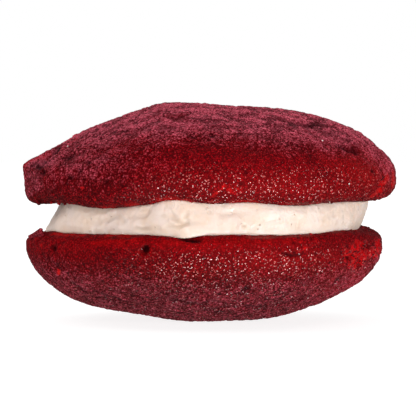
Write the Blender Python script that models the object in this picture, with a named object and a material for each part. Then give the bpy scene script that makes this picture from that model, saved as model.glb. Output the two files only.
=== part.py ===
"""Models a whoopie pie: two soft domed cakes, flat faces together, with a cream filling between them.

Metres, +Z up. The origin is under the middle of the pie, on the surface that it stands on, and -Y is
its front. The lower cake lies on its crown, which has settled into a small flat spot. The three pieces
are closed solids of their own, a hair apart.
"""

import math
from dataclasses import dataclass

import bmesh
import bpy
from mathutils import Vector, noise

# Fineness of the surfaces, and of the searches for a point on them
HALVINGS = 40
SEEN_POINT_ROUNDS = 6
BALL_SUBDIVISIONS = 5
CREAM_SECTORS = 104
CREAM_WALL_RINGS = 7
CREAM_FACE_RINGS = 7

# Shape of the rounded edge between a cake's side and its flat face
FOOT_RADIAL_POWER = 22.0
FOOT_HEIGHT_POWER = 2.5

# Shares of the radius between which an uneven edge fades into the flat face, and between which the
# crust's bumps fade into it. The cream keeps its distance from the bumps there.
EDGE_RISES = (0.72, 0.98)
BUMPS_RISE = (0.90, 0.99)
TOUCH_GAP = 0.0003
EDGE_GAP = 0.0004

# Shares of the crown's height between which a sag comes in
SAG_RISES = (0.05, 0.45)

# Bumps that all the crusts share: height and width of the broad ones, then of the small ones
BROAD_BUMP = (0.00024, 0.0085)
SMALL_BUMP = (0.00011, 0.0036)
TORN_BUMP_WIDTH = 0.0019

# The sides of the pie that a mark can be on
FRONT = -1.0
BACK = 1.0

# Cream: height of the lumps, and their width around and up the wall
CREAM_LUMP = 0.00042
CREAM_LUMP_WIDTH = 0.0065
CREAM_LUMP_HEIGHT = 0.0032
CREAM_SWELL = 0.0006

PIE_COLLECTION = "whoopie_pie"
CREAM_NAME = "cream_filling"


@dataclass(frozen=True)
class Sag:
    """A place along the width where the crown lies lower, or higher where the drop is negative."""

    x: float
    spread: float
    drop: float


@dataclass(frozen=True)
class EdgeWave:
    """A stretch of the edge round the flat face that reaches further, or less far if negative."""

    azimuth: float
    spread: float
    reach: float


@dataclass(frozen=True)
class Dent:
    """A hollow in the crust at (x, z), or a knob where the depth is negative."""

    at: tuple
    radius: float
    depth: float
    side: float = FRONT


@dataclass(frozen=True)
class Furrow:
    """A crevice in the front of the crust, from one (x, z) to another."""

    start: tuple
    end: tuple
    radius: float
    depth: float


@dataclass(frozen=True)
class TornPatch:
    """A place in the front, at (x, z), where the crust came away and the rough crumb shows."""

    at: tuple
    radius: float
    depth: float
    roughness: float


@dataclass(frozen=True)
class Facet:
    """A flat side, where the cake baked against its neighbour."""

    azimuth: float
    offset: float
    top: float
    fade: float
    hollow: float


@dataclass(frozen=True)
class Cake:
    """One domed cake. Its own height runs from its widest line towards the crown."""

    name: str
    half_width: float
    half_depth: float
    centre_x: float
    widest_z: float
    crown_up: bool
    crown: float
    crown_power: float
    foot: float
    face_slope: float
    lobes: tuple
    sags: tuple
    edge_waves: tuple
    dents: tuple
    furrows: tuple
    torn: tuple
    facets: tuple
    noise_offset: float


UPPER_CAKE = Cake(
    name="upper_cake",
    half_width=0.0424,
    half_depth=0.0414,
    centre_x=0.0,
    widest_z=0.0324,
    crown_up=True,
    crown=0.0168,
    crown_power=2.0,
    foot=0.0056,
    face_slope=0.0,
    lobes=((2, 0.004, 1.2), (3, 0.007, 0.5), (5, 0.004, 2.1)),
    sags=(
        Sag(-0.0365, 0.0080, 0.0022),
        Sag(-0.0270, 0.0090, 0.0016),
        Sag(-0.0190, 0.0060, 0.0005),
        Sag(-0.0090, 0.0050, -0.0004),
        Sag(0.0060, 0.0090, 0.0009),
        Sag(0.0230, 0.0070, 0.0002),
        Sag(0.0420, 0.0060, 0.0010),
    ),
    edge_waves=(
        EdgeWave(-172.0, 16.0, 0.0013),
        EdgeWave(-140.0, 10.0, 0.0004),
        EdgeWave(-125.0, 13.0, 0.0018),
        EdgeWave(-102.0, 7.0, -0.0009),
        EdgeWave(-90.0, 6.0, 0.0004),
        EdgeWave(-76.0, 8.0, -0.0004),
        EdgeWave(-62.0, 14.0, 0.0010),
        EdgeWave(35.0, 14.0, 0.0008),
        EdgeWave(80.0, 10.0, -0.0007),
        EdgeWave(120.0, 13.0, 0.0010),
        EdgeWave(152.0, 9.0, -0.0006),
    ),
    dents=(
        Dent((0.0309, 0.0388), 0.0021, 0.0011),
        Dent((0.0302, 0.0405), 0.0015, 0.0005),
        Dent((0.0218, 0.0438), 0.0015, 0.0009),
        Dent((0.0007, 0.0413), 0.0014, 0.0004),
        Dent((0.0086, 0.0388), 0.0018, 0.0005),
        Dent((-0.0175, 0.0418), 0.0016, 0.0005),
        Dent((-0.0375, 0.0351), 0.0016, 0.0008),
        Dent((-0.0424, 0.0357), 0.0020, -0.0011),
        Dent((0.0080, 0.0440), 0.0020, 0.0007, BACK),
        Dent((-0.0160, 0.0430), 0.0026, 0.0006, BACK),
        Dent((0.0270, 0.0400), 0.0018, 0.0008, BACK),
        Dent((-0.0290, 0.0340), 0.0021, 0.0005, BACK),
    ),
    furrows=(
        Furrow((-0.0399, 0.0356), (-0.0345, 0.0372), 0.0012, 0.0010),
        Furrow((-0.0105, 0.0451), (-0.0018, 0.0456), 0.0012, 0.0004),
        Furrow((0.0000, 0.0458), (0.0058, 0.0454), 0.0012, 0.0004),
    ),
    torn=(
        TornPatch((0.0395, 0.0312), 0.0048, 0.0004, 0.0004),
        TornPatch((-0.0380, 0.0382), 0.0055, 0.0001, 0.0005),
    ),
    facets=(Facet(195.0, 0.0413, 0.0356, 0.0012, 0.0005),),
    noise_offset=3.7,
)

LOWER_CAKE = Cake(
    name="lower_cake",
    half_width=0.0404,
    half_depth=0.0402,
    centre_x=-0.0007,
    widest_z=0.0170,
    crown_up=False,
    crown=0.0175,
    crown_power=1.87,
    foot=0.0040,
    face_slope=0.0163,
    lobes=((2, 0.005, 2.0), (3, 0.006, 2.6), (4, 0.003, 0.4)),
    sags=(
        Sag(-0.0300, 0.0100, -0.0007),
        Sag(-0.0160, 0.0070, 0.0005),
        Sag(0.0150, 0.0090, -0.0004),
    ),
    edge_waves=(
        EdgeWave(-180.0, 18.0, -0.0006),
        EdgeWave(-157.0, 4.5, 0.0006),
        EdgeWave(-97.0, 5.0, -0.0004),
        EdgeWave(-70.0, 14.0, -0.0004),
        EdgeWave(-38.0, 9.0, 0.0002),
        EdgeWave(-8.0, 18.0, -0.0012),
        EdgeWave(40.0, 11.0, -0.0005),
        EdgeWave(95.0, 13.0, 0.0006),
        EdgeWave(140.0, 9.0, -0.0004),
    ),
    dents=(
        Dent((-0.0134, 0.0173), 0.0011, 0.0009),
        Dent((-0.0337, 0.0171), 0.0009, 0.0005),
        Dent((-0.0329, 0.0118), 0.0013, 0.0004),
        Dent((0.0173, 0.0161), 0.0013, 0.0004),
        Dent((0.0200, 0.0130), 0.0016, 0.0006, BACK),
        Dent((-0.0240, 0.0100), 0.0018, 0.0005, BACK),
    ),
    furrows=(
        Furrow((0.0262, 0.0070), (0.0310, 0.0110), 0.0012, 0.0004),
        Furrow((-0.0060, 0.0050), (0.0014, 0.0050), 0.0012, 0.0004),
    ),
    torn=(TornPatch((0.0337, 0.0158), 0.0048, 0.0004, 0.0004),),
    facets=(),
    noise_offset=11.3,
)

# The cream's own outline: its usual radius, then stretches where it stands out or lies further in.
# The lean is how much further its foot reaches than its top.
CREAM_RADIUS = 0.0372
CREAM_LEAN = 0.0006


@dataclass(frozen=True)
class CreamStretch:
    """A stretch of the cream's wall that differs from the rest."""

    azimuth: float
    spread: float
    out: float
    lean: float


CREAM_STRETCHES = (
    CreamStretch(180.0, 24.0, -0.0026, 0.0046),
    CreamStretch(0.0, 26.0, -0.0024, -0.0034),
    CreamStretch(-99.0, 8.0, 0.0014, 0.0002),
    CreamStretch(-128.0, 12.0, -0.0008, 0.0004),
    CreamStretch(-60.0, 16.0, 0.0006, -0.0004),
    CreamStretch(60.0, 18.0, 0.0010, 0.0006),
    CreamStretch(115.0, 14.0, -0.0012, -0.0006),
)


def smooth_step(low, high, value):
    """0 below low, 1 above high, and a smooth rise between them."""
    t = min(1.0, max(0.0, (value - low) / (high - low)))
    return t * t * (3.0 - 2.0 * t)


def bell(distance, spread):
    """1 at no distance, fading to nothing past about twice the spread."""
    return math.exp(-((distance / spread) ** 2))


def turn_between(azimuth, other):
    """Degrees between two azimuths, at most 180."""
    return abs((azimuth - other + 180.0) % 360.0 - 180.0)


def bumps(point, size, offset):
    """A smooth random height for a point, for bumps of this (height, width)."""
    height, width = size
    return height * noise.noise(point / width + Vector((offset, offset, offset)))


def plan_radius(cake, azimuth):
    """Distance from the cake's middle to its widest line."""
    oval = 1.0 / math.hypot(
        math.cos(azimuth) / cake.half_width, math.sin(azimuth) / cake.half_depth
    )
    uneven = sum(share * math.cos(count * azimuth - turn) for count, share, turn in cake.lobes)
    return oval * (1.0 + uneven)


def edge_reach(cake, azimuth, share):
    """How far the uneven edge moves the flat face at this share of the radius."""
    degrees = math.degrees(azimuth)
    reach = sum(
        wave.reach * bell(turn_between(degrees, wave.azimuth), wave.spread)
        for wave in cake.edge_waves
    )
    return reach * smooth_step(*EDGE_RISES, share)


def flat_face_z(cake, x, y):
    """Height of a cake's flat face above the surface that the pie stands on."""
    along = x - cake.centre_x
    azimuth = math.atan2(y, along)
    share = min(1.0, math.hypot(along, y) / plan_radius(cake, azimuth))
    depth = cake.foot * (1.0 - share**FOOT_RADIAL_POWER) ** (1.0 / FOOT_HEIGHT_POWER)
    depth += edge_reach(cake, azimuth, share)
    towards_face = -1.0 if cake.crown_up else 1.0
    return cake.widest_z + towards_face * depth + cake.face_slope * x


def touch_gap(cake, x, y):
    """Space to leave between the cream and a cake's flat face at this place."""
    along = x - cake.centre_x
    share = math.hypot(along, y) / plan_radius(cake, math.atan2(y, along))
    return TOUCH_GAP + EDGE_GAP * smooth_step(*BUMPS_RISE, share)


def cream_limits(x, y):
    """Lowest and highest places for the cream here, between the two cakes."""
    low = flat_face_z(LOWER_CAKE, x, y) + touch_gap(LOWER_CAKE, x, y)
    high = flat_face_z(UPPER_CAKE, x, y) - touch_gap(UPPER_CAKE, x, y)
    return low, high


def on_profile(radial, rise, radial_power, rise_power):
    """The factor that brings a direction onto radial**radial_power + rise**rise_power = 1."""
    low, high = 0.0, 1.0 / max(radial, rise)
    for _ in range(HALVINGS):
        middle = (low + high) / 2.0
        inside = (middle * radial) ** radial_power + (middle * rise) ** rise_power < 1.0
        low, high = (middle, high) if inside else (low, middle)
    return low


def bare_form(cake, ball_point):
    """A point of the unit ball moved onto the smooth cake, with its outward direction.

    The cake's own frame has the crown towards +Z and the widest line at height 0.
    """
    direction = Vector(
        (
            ball_point.x * cake.half_width,
            ball_point.y * cake.half_depth,
            ball_point.z * cake.crown,
        )
    )
    azimuth = math.atan2(direction.y, direction.x)
    radius = plan_radius(cake, azimuth)
    radial = math.hypot(direction.x, direction.y) / radius
    if direction.z >= 0.0:
        rise, powers = direction.z / cake.crown, (cake.crown_power, 2.0)
    else:
        rise, powers = -direction.z / cake.foot, (FOOT_RADIAL_POWER, FOOT_HEIGHT_POWER)
    point = direction * on_profile(radial, rise, *powers)
    share = math.hypot(point.x, point.y) / radius
    face_share = smooth_step(0.0, 1.0, -point.z / cake.foot)
    point.z -= edge_reach(cake, azimuth, share) * face_share
    outward = Vector((point.x / radius**2, point.y / radius**2, point.z / cake.crown**2))
    return point, outward.normalized(), share, face_share


def sag_at(cake, x):
    """How much lower the crown lies at this place along the width."""
    return sum(sag.drop * bell(x - sag.x, sag.spread) for sag in cake.sags)


def seen_point(cake, x, z, side):
    """The point of the smooth crust that shows at x and z on the front or the back."""
    rise = z - cake.widest_z if cake.crown_up else cake.widest_z - z
    if rise > 0.0:
        rise = min(1.0, (rise + sag_at(cake, x)) / cake.crown)
        share = (1.0 - rise**2) ** (1.0 / cake.crown_power)
    else:
        rise = min(1.0, -rise / cake.foot)
        share = (1.0 - rise**FOOT_HEIGHT_POWER) ** (1.0 / FOOT_RADIAL_POWER)
    along = x - cake.centre_x
    y = side * cake.half_depth
    for _ in range(SEEN_POINT_ROUNDS):
        reach = share * plan_radius(cake, math.atan2(y, along))
        y = side * math.sqrt(max(0.0, reach**2 - along**2))
    return Vector((x, y, z))


def distance_to_line(point, start, end):
    """Distance from a point to a straight stretch."""
    along = end - start
    t = max(0.0, min(1.0, (point - start).dot(along) / along.length_squared))
    return (point - start - along * t).length


def marks_on(cake, point):
    """How far dents, crevices and torn crust move this point of the crust outwards."""
    moved = 0.0
    for dent in cake.dents:
        centre = seen_point(cake, *dent.at, dent.side)
        moved -= dent.depth * bell((point - centre).length, dent.radius)
    for furrow in cake.furrows:
        ends = [seen_point(cake, *end, FRONT) for end in (furrow.start, furrow.end)]
        moved -= furrow.depth * bell(distance_to_line(point, *ends), furrow.radius)
    for patch in cake.torn:
        here = bell((point - seen_point(cake, *patch.at, FRONT)).length, patch.radius)
        moved -= patch.depth * here
        crumb = (patch.roughness, TORN_BUMP_WIDTH)
        moved += here * bumps(point, crumb, cake.noise_offset)
    return moved


def press_facets(cake, point):
    """Flattens the side where the cake baked against its neighbour."""
    for facet in cake.facets:
        turn = math.radians(facet.azimuth)
        normal = Vector((math.cos(turn), math.sin(turn), 0.0))
        past = point.dot(normal) - facet.offset
        below_top = 1.0 - smooth_step(facet.top - facet.fade, facet.top + facet.fade, point.z)
        if past > 0.0:
            pressed = past + facet.hollow * smooth_step(0.0, facet.fade, past)
            point = point - normal * pressed * below_top
    return point


def crust_point(cake, ball_point):
    """A point of the unit ball moved onto the finished crust of a cake."""
    point, outward, share, face_share = bare_form(cake, ball_point)
    exposed = 1.0 - face_share * (1.0 - smooth_step(*BUMPS_RISE, share))
    point.x += cake.centre_x
    point.z -= smooth_step(*SAG_RISES, point.z / cake.crown) * sag_at(cake, point.x)
    if not cake.crown_up:
        point.z, outward.z = -point.z, -outward.z
    point.z += cake.widest_z + cake.face_slope * point.x * face_share
    point = press_facets(cake, point)
    relief = bumps(point, BROAD_BUMP, cake.noise_offset)
    relief += bumps(point, SMALL_BUMP, -cake.noise_offset)
    relief += marks_on(cake, point)
    point += outward * relief * exposed
    point.z = max(0.0, point.z)
    return point


def cake_mesh(cake):
    """The closed mesh of one cake, shaped from a ball of even triangles."""
    shape = bmesh.new()
    bmesh.ops.create_icosphere(shape, subdivisions=BALL_SUBDIVISIONS, radius=1.0)
    for vert in shape.verts:
        vert.co = crust_point(cake, vert.co)
    return finished_mesh(shape, cake.name)


def cream_outline(azimuth):
    """The cream's radius half way up its wall, and its lean."""
    degrees = math.degrees(azimuth)
    radius, lean = CREAM_RADIUS, CREAM_LEAN
    for stretch in CREAM_STRETCHES:
        here = bell(turn_between(degrees, stretch.azimuth), stretch.spread)
        radius += stretch.out * here
        lean += stretch.lean * here
    return radius, lean


def cream_wall_point(azimuth, up):
    """A point of the cream's wall: up is 0 at its foot and 1 at its top."""
    radius, lean = cream_outline(azimuth)
    radius += lean * (0.5 - up) + CREAM_SWELL * math.sin(math.pi * up)
    across = Vector((math.cos(azimuth), math.sin(azimuth), 0.0))
    lump_at = across * (radius / CREAM_LUMP_WIDTH)
    lump_at.z = up * (UPPER_CAKE.widest_z - LOWER_CAKE.widest_z) / CREAM_LUMP_HEIGHT / 2.0
    point = across * (radius + CREAM_LUMP * noise.noise(lump_at))
    low, high = cream_limits(point.x, point.y)
    point.z = low + (high - low) * up
    return point


def cream_face_point(azimuth, share, top):
    """A point of the cream's top or bottom, at this share of the way out to its edge."""
    edge = cream_wall_point(azimuth, 1.0 if top else 0.0)
    x, y = edge.x * share, edge.y * share
    low, high = cream_limits(x, y)
    return Vector((x, y, high if top else low))


def cream_mesh():
    """The closed mesh of the filling: a thick disc that follows both cakes' flat faces."""
    shape = bmesh.new()
    rings = CREAM_WALL_RINGS + 2 * CREAM_FACE_RINGS
    bmesh.ops.create_uvsphere(
        shape, u_segments=CREAM_SECTORS, v_segments=rings + 1, radius=1.0
    )
    half_wall = (CREAM_WALL_RINGS - 1) / 2.0
    for vert in shape.verts:
        azimuth = math.atan2(vert.co.y, vert.co.x)
        latitude = math.asin(max(-1.0, min(1.0, vert.co.z)))
        ring = latitude / (math.pi / (rings + 1))
        if abs(ring) <= half_wall + 0.5:
            vert.co = cream_wall_point(azimuth, 0.5 + ring / half_wall / 2.0)
            continue
        inwards = (abs(ring) - half_wall) / (CREAM_FACE_RINGS + 1)
        share = math.sin((1.0 - min(1.0, inwards)) * math.pi / 2.0)
        vert.co = cream_face_point(azimuth, share, ring > 0.0)
    return finished_mesh(shape, CREAM_NAME)


def finished_mesh(shape, name):
    """Writes a shape to a mesh with all faces outwards and smooth."""
    shape.normal_update()
    bmesh.ops.recalc_face_normals(shape, faces=shape.faces)
    mesh = bpy.data.meshes.new(name)
    shape.to_mesh(mesh)
    shape.free()
    mesh.shade_smooth()
    return mesh


def plain_material(name, colour, roughness):
    """A Principled material of one colour."""
    material = bpy.data.materials.new(name)
    material.use_nodes = True
    shader = material.node_tree.nodes["Principled BSDF"]
    shader.inputs["Base Color"].default_value = (*colour, 1.0)
    shader.inputs["Roughness"].default_value = roughness
    shader.inputs["Metallic"].default_value = 0.0
    return material


def centre_over_origin(pieces):
    """Moves the pieces so that the middle of the whole is over the origin."""
    places = [vert.co for piece in pieces for vert in piece.data.vertices]
    middle = Vector(
        [(min(at[axis] for at in places) + max(at[axis] for at in places)) / 2.0 for axis in (0, 1)]
    )
    for piece in pieces:
        for vert in piece.data.vertices:
            vert.co.x -= middle.x
            vert.co.y -= middle.y


def clear_scene():
    """Removes every object of the open file."""
    for old in list(bpy.data.objects):
        bpy.data.objects.remove(old, do_unlink=True)


def main():
    """Builds the two cakes and the filling."""
    clear_scene()
    collection = bpy.data.collections.new(PIE_COLLECTION)
    bpy.context.scene.collection.children.link(collection)
    crust = plain_material("red_velvet_crust", (0.175, 0.006, 0.010), 0.55)
    cream = plain_material("cream_cheese_filling", (0.86, 0.76, 0.67), 0.45)
    made = (
        (UPPER_CAKE.name, cake_mesh(UPPER_CAKE), crust),
        (CREAM_NAME, cream_mesh(), cream),
        (LOWER_CAKE.name, cake_mesh(LOWER_CAKE), crust),
    )
    pieces = []
    for name, mesh, material in made:
        mesh.materials.append(material)
        piece = bpy.data.objects.new(name, mesh)
        collection.objects.link(piece)
        pieces.append(piece)
    centre_over_origin(pieces)


main()
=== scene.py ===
"""Dresses the whoopie pie: two fine cake crusts, the cream between them, crumbs, and soft studio light.

The frame's solids carry the pie's form. Each visible piece here is a finer copy of its solid, with the
marks, wrinkles and pores of the real one. +Z is up and -Y is the front. Sizes inside the classes are in
millimetres, and MM turns them into the scene's metres.
"""

import logging
import math
from dataclasses import dataclass, fields
from enum import Enum

import bmesh
import bpy
import numpy as np
from bpy.types import Material, Mesh, Node, NodeSocket, NodeTree, Object
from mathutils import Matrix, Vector, noise
from mathutils.bvhtree import BVHTree


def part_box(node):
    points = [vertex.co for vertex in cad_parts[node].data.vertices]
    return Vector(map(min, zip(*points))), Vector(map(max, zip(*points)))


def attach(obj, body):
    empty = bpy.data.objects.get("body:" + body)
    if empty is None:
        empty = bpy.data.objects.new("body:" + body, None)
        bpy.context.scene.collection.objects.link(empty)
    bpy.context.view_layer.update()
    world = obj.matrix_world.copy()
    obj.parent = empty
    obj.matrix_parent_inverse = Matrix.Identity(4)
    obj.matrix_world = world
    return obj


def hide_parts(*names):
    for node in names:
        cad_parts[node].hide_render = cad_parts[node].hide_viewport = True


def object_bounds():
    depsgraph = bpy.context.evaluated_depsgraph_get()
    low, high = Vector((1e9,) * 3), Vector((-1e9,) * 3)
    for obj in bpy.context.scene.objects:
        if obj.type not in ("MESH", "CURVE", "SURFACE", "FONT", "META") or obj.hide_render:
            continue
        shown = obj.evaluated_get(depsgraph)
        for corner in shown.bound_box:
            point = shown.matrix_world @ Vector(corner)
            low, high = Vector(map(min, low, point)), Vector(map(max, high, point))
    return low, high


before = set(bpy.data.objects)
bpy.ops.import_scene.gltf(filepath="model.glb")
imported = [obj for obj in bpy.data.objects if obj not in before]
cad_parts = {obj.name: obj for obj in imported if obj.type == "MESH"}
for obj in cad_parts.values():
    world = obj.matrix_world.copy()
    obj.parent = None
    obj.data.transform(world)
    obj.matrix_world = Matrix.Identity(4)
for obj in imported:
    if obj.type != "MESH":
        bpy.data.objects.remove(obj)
cad_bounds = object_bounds()

MM = 0.001
BODY = "root"
MERGE_DISTANCE = 1e-6
FRONT_DIRECTION = Vector((0.0, 1.0, 0.0))
FAR_OUT = 200.0
# Distances count less along the depth, so a mark is drawn out where the surface slants away.
AS_SEEN = np.array([1.0, 0.45, 1.0])

log = logging.getLogger("whoopie_pie")


class Side(Enum):
    """The side of the pie that a mark is on, seen from a level camera."""

    FRONT = -1.0
    BACK = 1.0


class Slot(Enum):
    """The pie's material slots."""

    CRUST = "red_crust"
    CREAM = "cream"


class Mask(Enum):
    """What varies over a surface: each is a vertex attribute that the trees and materials read."""

    COVER = "cover"
    TORN = "torn"
    RAW = "raw"
    # Painted shade in pits, crevices, creases and hollows, and at the cream's foot.
    DARK = "dark"
    # Dust on the drier crust, with painted sheen on the crown, the sides and the underside.
    DUST = "dust"
    SKIN = "skin"
    GLOSS = "gloss"
    CRUMBLY = "crumbly"
    RELIEF = "relief"
    PORE = "pore"


def smooth_step(low: float, high: float, value: np.ndarray) -> np.ndarray:
    """Rises smoothly from 0 at low to 1 at high, or falls where low is the larger.

    Args:
        low: The value that gives 0.
        high: The value that gives 1.
        value: The values to shape.

    Returns:
        The shaped values.
    """
    share = np.clip((value - low) / (high - low), 0.0, 1.0)
    return share * share * (3.0 - 2.0 * share)


def bell(gap: np.ndarray, spread: float) -> np.ndarray:
    """1 where the gap is nothing, fading out past about twice the spread."""
    return np.exp(-((gap / spread) ** 2))


def distance_to_path(points: np.ndarray, path: np.ndarray) -> tuple[np.ndarray, np.ndarray]:
    """Measures how far points lie from a path of one or more places.

    Args:
        points: The points, one a row.
        path: The places along the path, one a row.

    Returns:
        The distance of each point, and its share of the way along the path.
    """
    gap = np.linalg.norm(points - path[0], axis=1)
    along = np.full(len(points), 0.5 if len(path) == 1 else 0.0)
    stretches = len(path) - 1
    for index in range(stretches):
        start, run = path[index], path[index + 1] - path[index]
        share = np.clip((points - start) @ run / (run @ run), 0.0, 1.0)
        here = np.linalg.norm(points - start - share[:, None] * run, axis=1)
        nearer = here < gap
        gap[nearer] = here[nearer]
        along[nearer] = (index + share[nearer]) / stretches
    return gap, along


@dataclass
class Surface:
    """A fine surface being worked on: its vertices in millimetres and what is laid on them."""

    mesh: Mesh

    def __post_init__(self) -> None:
        """Reads the mesh and starts with nothing laid on it."""
        count = len(self.mesh.vertices)
        flat = np.empty(count * 3, np.float32)
        self.mesh.vertices.foreach_get("co", flat)
        self.points = flat.reshape(-1, 3).astype(float) / MM
        self.mesh.vertices.foreach_get("normal", flat)
        self.normals = flat.reshape(-1, 3).astype(float)
        faces = [tuple(face.vertices) for face in self.mesh.polygons]
        self.tree = BVHTree.FromPolygons([Vector(point) for point in self.points], faces)
        self.lift = np.zeros(count)
        self.masks = {mask: np.zeros(count) for mask in Mask if mask not in (Mask.RELIEF, Mask.PORE)}

    def seen(self, x: float, z: float, side: Side) -> np.ndarray:
        """Finds the place on the surface that shows at x and z.

        Args:
            x: Place along the width.
            z: Height.
            side: The side that is looked at.

        Returns:
            The place.
        """
        start = Vector((x, side.value * FAR_OUT, z))
        place = self.tree.ray_cast(start, FRONT_DIRECTION * -side.value)[0]
        if place is None:
            place = self.tree.find_nearest(Vector((x, 0.0, z)))[0]
        return np.array(place)

    def path(self, places: tuple[tuple[float, float], ...], side: Side) -> np.ndarray:
        """The places on the surface that show at these (x, z)."""
        return np.array([self.seen(x, z, side) for x, z in places])

    def radius(self) -> np.ndarray:
        """The distance of each point from the pie's upright middle line."""
        return np.hypot(self.points[:, 0], self.points[:, 1])

    def azimuth(self) -> np.ndarray:
        """The direction of each point from the middle, in degrees from +X by way of the back."""
        return np.degrees(np.arctan2(self.points[:, 1], self.points[:, 0])) % 360.0

    def turned_from(self, azimuth: float) -> np.ndarray:
        """How many degrees round the pie each point lies from an azimuth, either way."""
        return np.abs((self.azimuth() - azimuth + 180.0) % 360.0 - 180.0)

    def ripple(self, width: float, offset: float = 0.0) -> np.ndarray:
        """Smooth noise from -1 to 1 over the surface, of this width."""
        shift = Vector((offset, offset, offset))
        return np.array([noise.noise(Vector(point) / width + shift) for point in self.points])

    def paint(self, mask: Mask, amount: np.ndarray) -> None:
        """Lays an amount on a mask, where it is more than what is there."""
        self.masks[mask] = np.maximum(self.masks[mask], np.clip(amount, 0.0, 1.0))

    def settle(self) -> None:
        """Moves the vertices by their lift and writes the masks to the mesh."""
        moved = self.points + self.normals * self.lift[:, None]
        moved[:, 2] = np.maximum(moved[:, 2], 0.0)
        self.mesh.vertices.foreach_set("co", (moved * MM).astype(np.float32).ravel())
        for mask, amount in self.masks.items():
            layer = self.mesh.attributes.new(mask.value, "FLOAT", "POINT")
            layer.data.foreach_set("value", amount.astype(np.float32))
        self.mesh.update()


@dataclass(frozen=True)
class Groove:
    """A pit, where it has one place, or else a crevice along its places, with a lip beside it."""

    path: tuple[tuple[float, float], ...]
    width: float
    depth: float
    lip: float = 0.0
    # The share of painted shade on the floor.
    dark: float = 0.7
    raw: float = 0.0
    side: Side = Side.FRONT

    def apply(self, surface: Surface) -> None:
        """Presses the groove in, drawn out where the surface slants away, with painted shade on its
        floor.
        """
        path = surface.path(self.path, self.side)
        gap, along = distance_to_path(surface.points * AS_SEEN, path * AS_SEEN)
        near = np.flatnonzero(gap < self.width * 6.0)
        gap, along = gap[near], along[near]
        wobble = np.array([noise.noise(Vector(surface.points[i]) / 0.8) for i in near])
        gap = gap * (1.0 + 0.45 * wobble)
        taper = 0.35 + 0.65 * np.sqrt(np.sin(np.pi * along))
        floor = 1.0 / (1.0 + (gap / self.width) ** 4)
        surface.lift[near] -= self.depth * taper * floor
        surface.lift[near] += self.lip * taper * bell(gap - 2.1 * self.width, 0.8 * self.width)
        beside = bell(gap, 1.9 * self.width)
        for mask, share in ((Mask.DARK, self.dark * floor), (Mask.RAW, self.raw * beside)):
            amount = np.zeros(len(surface.points))
            amount[near] = share * np.sqrt(taper)
            surface.paint(mask, amount)


def pit(x: float, z: float, *sizes: float, side: Side = Side.FRONT) -> Groove:
    """A pit that shows at (x, z), with the sizes of a groove in their order."""
    return Groove(((x, z),), *sizes, side=side)


@dataclass(frozen=True)
class Stain:
    """A stroke of colour on the crust that barely changes its form."""

    path: tuple[tuple[float, float], ...]
    width: float
    mask: Mask
    amount: float = 1.0
    side: Side = Side.FRONT

    def apply(self, surface: Surface) -> None:
        """Lays the stroke on the surface, with a ragged edge."""
        path = surface.path(self.path, self.side)
        gap, _ = distance_to_path(surface.points * AS_SEEN, path * AS_SEEN)
        ragged = gap * (1.0 + 0.5 * surface.ripple(1.1, self.width))
        surface.paint(self.mask, self.amount * smooth_step(1.25, 0.6, ragged / self.width))


@dataclass(frozen=True)
class Flush:
    """A broad stretch of brighter crust, or of dust and painted sheen, that fades out all round."""

    at: tuple[float, float]
    reach: tuple[float, float]
    amount: float
    side: Side = Side.FRONT
    mask: Mask = Mask.RAW

    def apply(self, surface: Surface) -> None:
        """Lays the flush on the surface."""
        level = (surface.points[:, 0] - self.at[0]) / self.reach[0]
        upright = (surface.points[:, 2] - self.at[1]) / self.reach[1]
        here = smooth_step(-6.0, 6.0, surface.points[:, 1] * self.side.value)
        uneven = 1.0 + 0.3 * surface.ripple(4.0, self.reach[0])
        surface.paint(self.mask, self.amount * uneven * here * bell(np.hypot(level, upright), 1.0))


@dataclass(frozen=True)
class TornPatch:
    """A place where the skin came away and the rough, bright crumb shows."""

    at: tuple[float, float]
    radius: float
    height: float
    depth: float
    lip: float
    crumb: float
    amount: float = 1.0
    side: Side = Side.FRONT

    def apply(self, surface: Surface) -> None:
        """Sinks the patch, roughens it and raises its torn edge."""
        away = surface.points - surface.seen(*self.at, self.side)
        level = np.hypot(away[:, 0], away[:, 1]) / self.radius
        reach = np.hypot(level, away[:, 2] / self.height) + 0.34 * surface.ripple(1.7, self.radius)
        inside = smooth_step(1.0, 0.74, reach)
        rough = surface.ripple(1.05, 2.0) + 0.6 * surface.ripple(0.6, 7.0)
        surface.lift += inside * (self.crumb * rough - self.depth)
        surface.lift += self.lip * bell(reach - 1.0, 0.09)
        surface.paint(Mask.TORN, self.amount * inside)
        surface.paint(Mask.CRUMBLY, 2.0 * self.amount * inside)


@dataclass(frozen=True)
class RimLine:
    """A line round a rim, facing a given way: dried skin, or a bright edge of crumb and painted glow.
    """

    facing: float
    spread: float
    lift: float
    mask: Mask
    amount: float
    sides: tuple[tuple[float, float], ...]

    def apply(self, surface: Surface) -> None:
        """Lays the line over its stretches of azimuth, broken here and there."""
        band = bell(surface.normals[:, 2] - self.facing, self.spread)
        turn = surface.azimuth()
        within = np.zeros(len(turn))
        for first, last in self.sides:
            fade = smooth_step(first, first + 4.0, turn) * smooth_step(last, last - 4.0, turn)
            within = np.maximum(within, fade)
        broken = smooth_step(-0.35, 0.1, surface.ripple(3.0, 4.0))
        band = band * within * broken
        surface.lift += self.lift * band
        surface.paint(self.mask, self.amount * band)


@dataclass(frozen=True)
class SmoothFacet:
    """A flat side where the cake baked against its neighbour, with dust and painted sheen."""

    azimuth: float
    turn: float
    top: float
    middle: float
    sink: float

    def apply(self, surface: Surface) -> None:
        """Lays dust and painted sheen on the facet and hollows it slightly, which leaves the beak over
        it.
        """
        across = surface.turned_from(self.azimuth)
        facing = smooth_step(0.55, 0.25, np.abs(surface.normals[:, 2]))
        below = smooth_step(self.top + 0.8, self.top - 0.8, surface.points[:, 2])
        amount = smooth_step(self.turn, self.turn * 0.7, across) * below * facing
        surface.paint(Mask.DUST, 0.45 * amount)
        surface.lift -= self.sink * amount * bell(surface.points[:, 2] - self.middle, 3.0)


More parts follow.
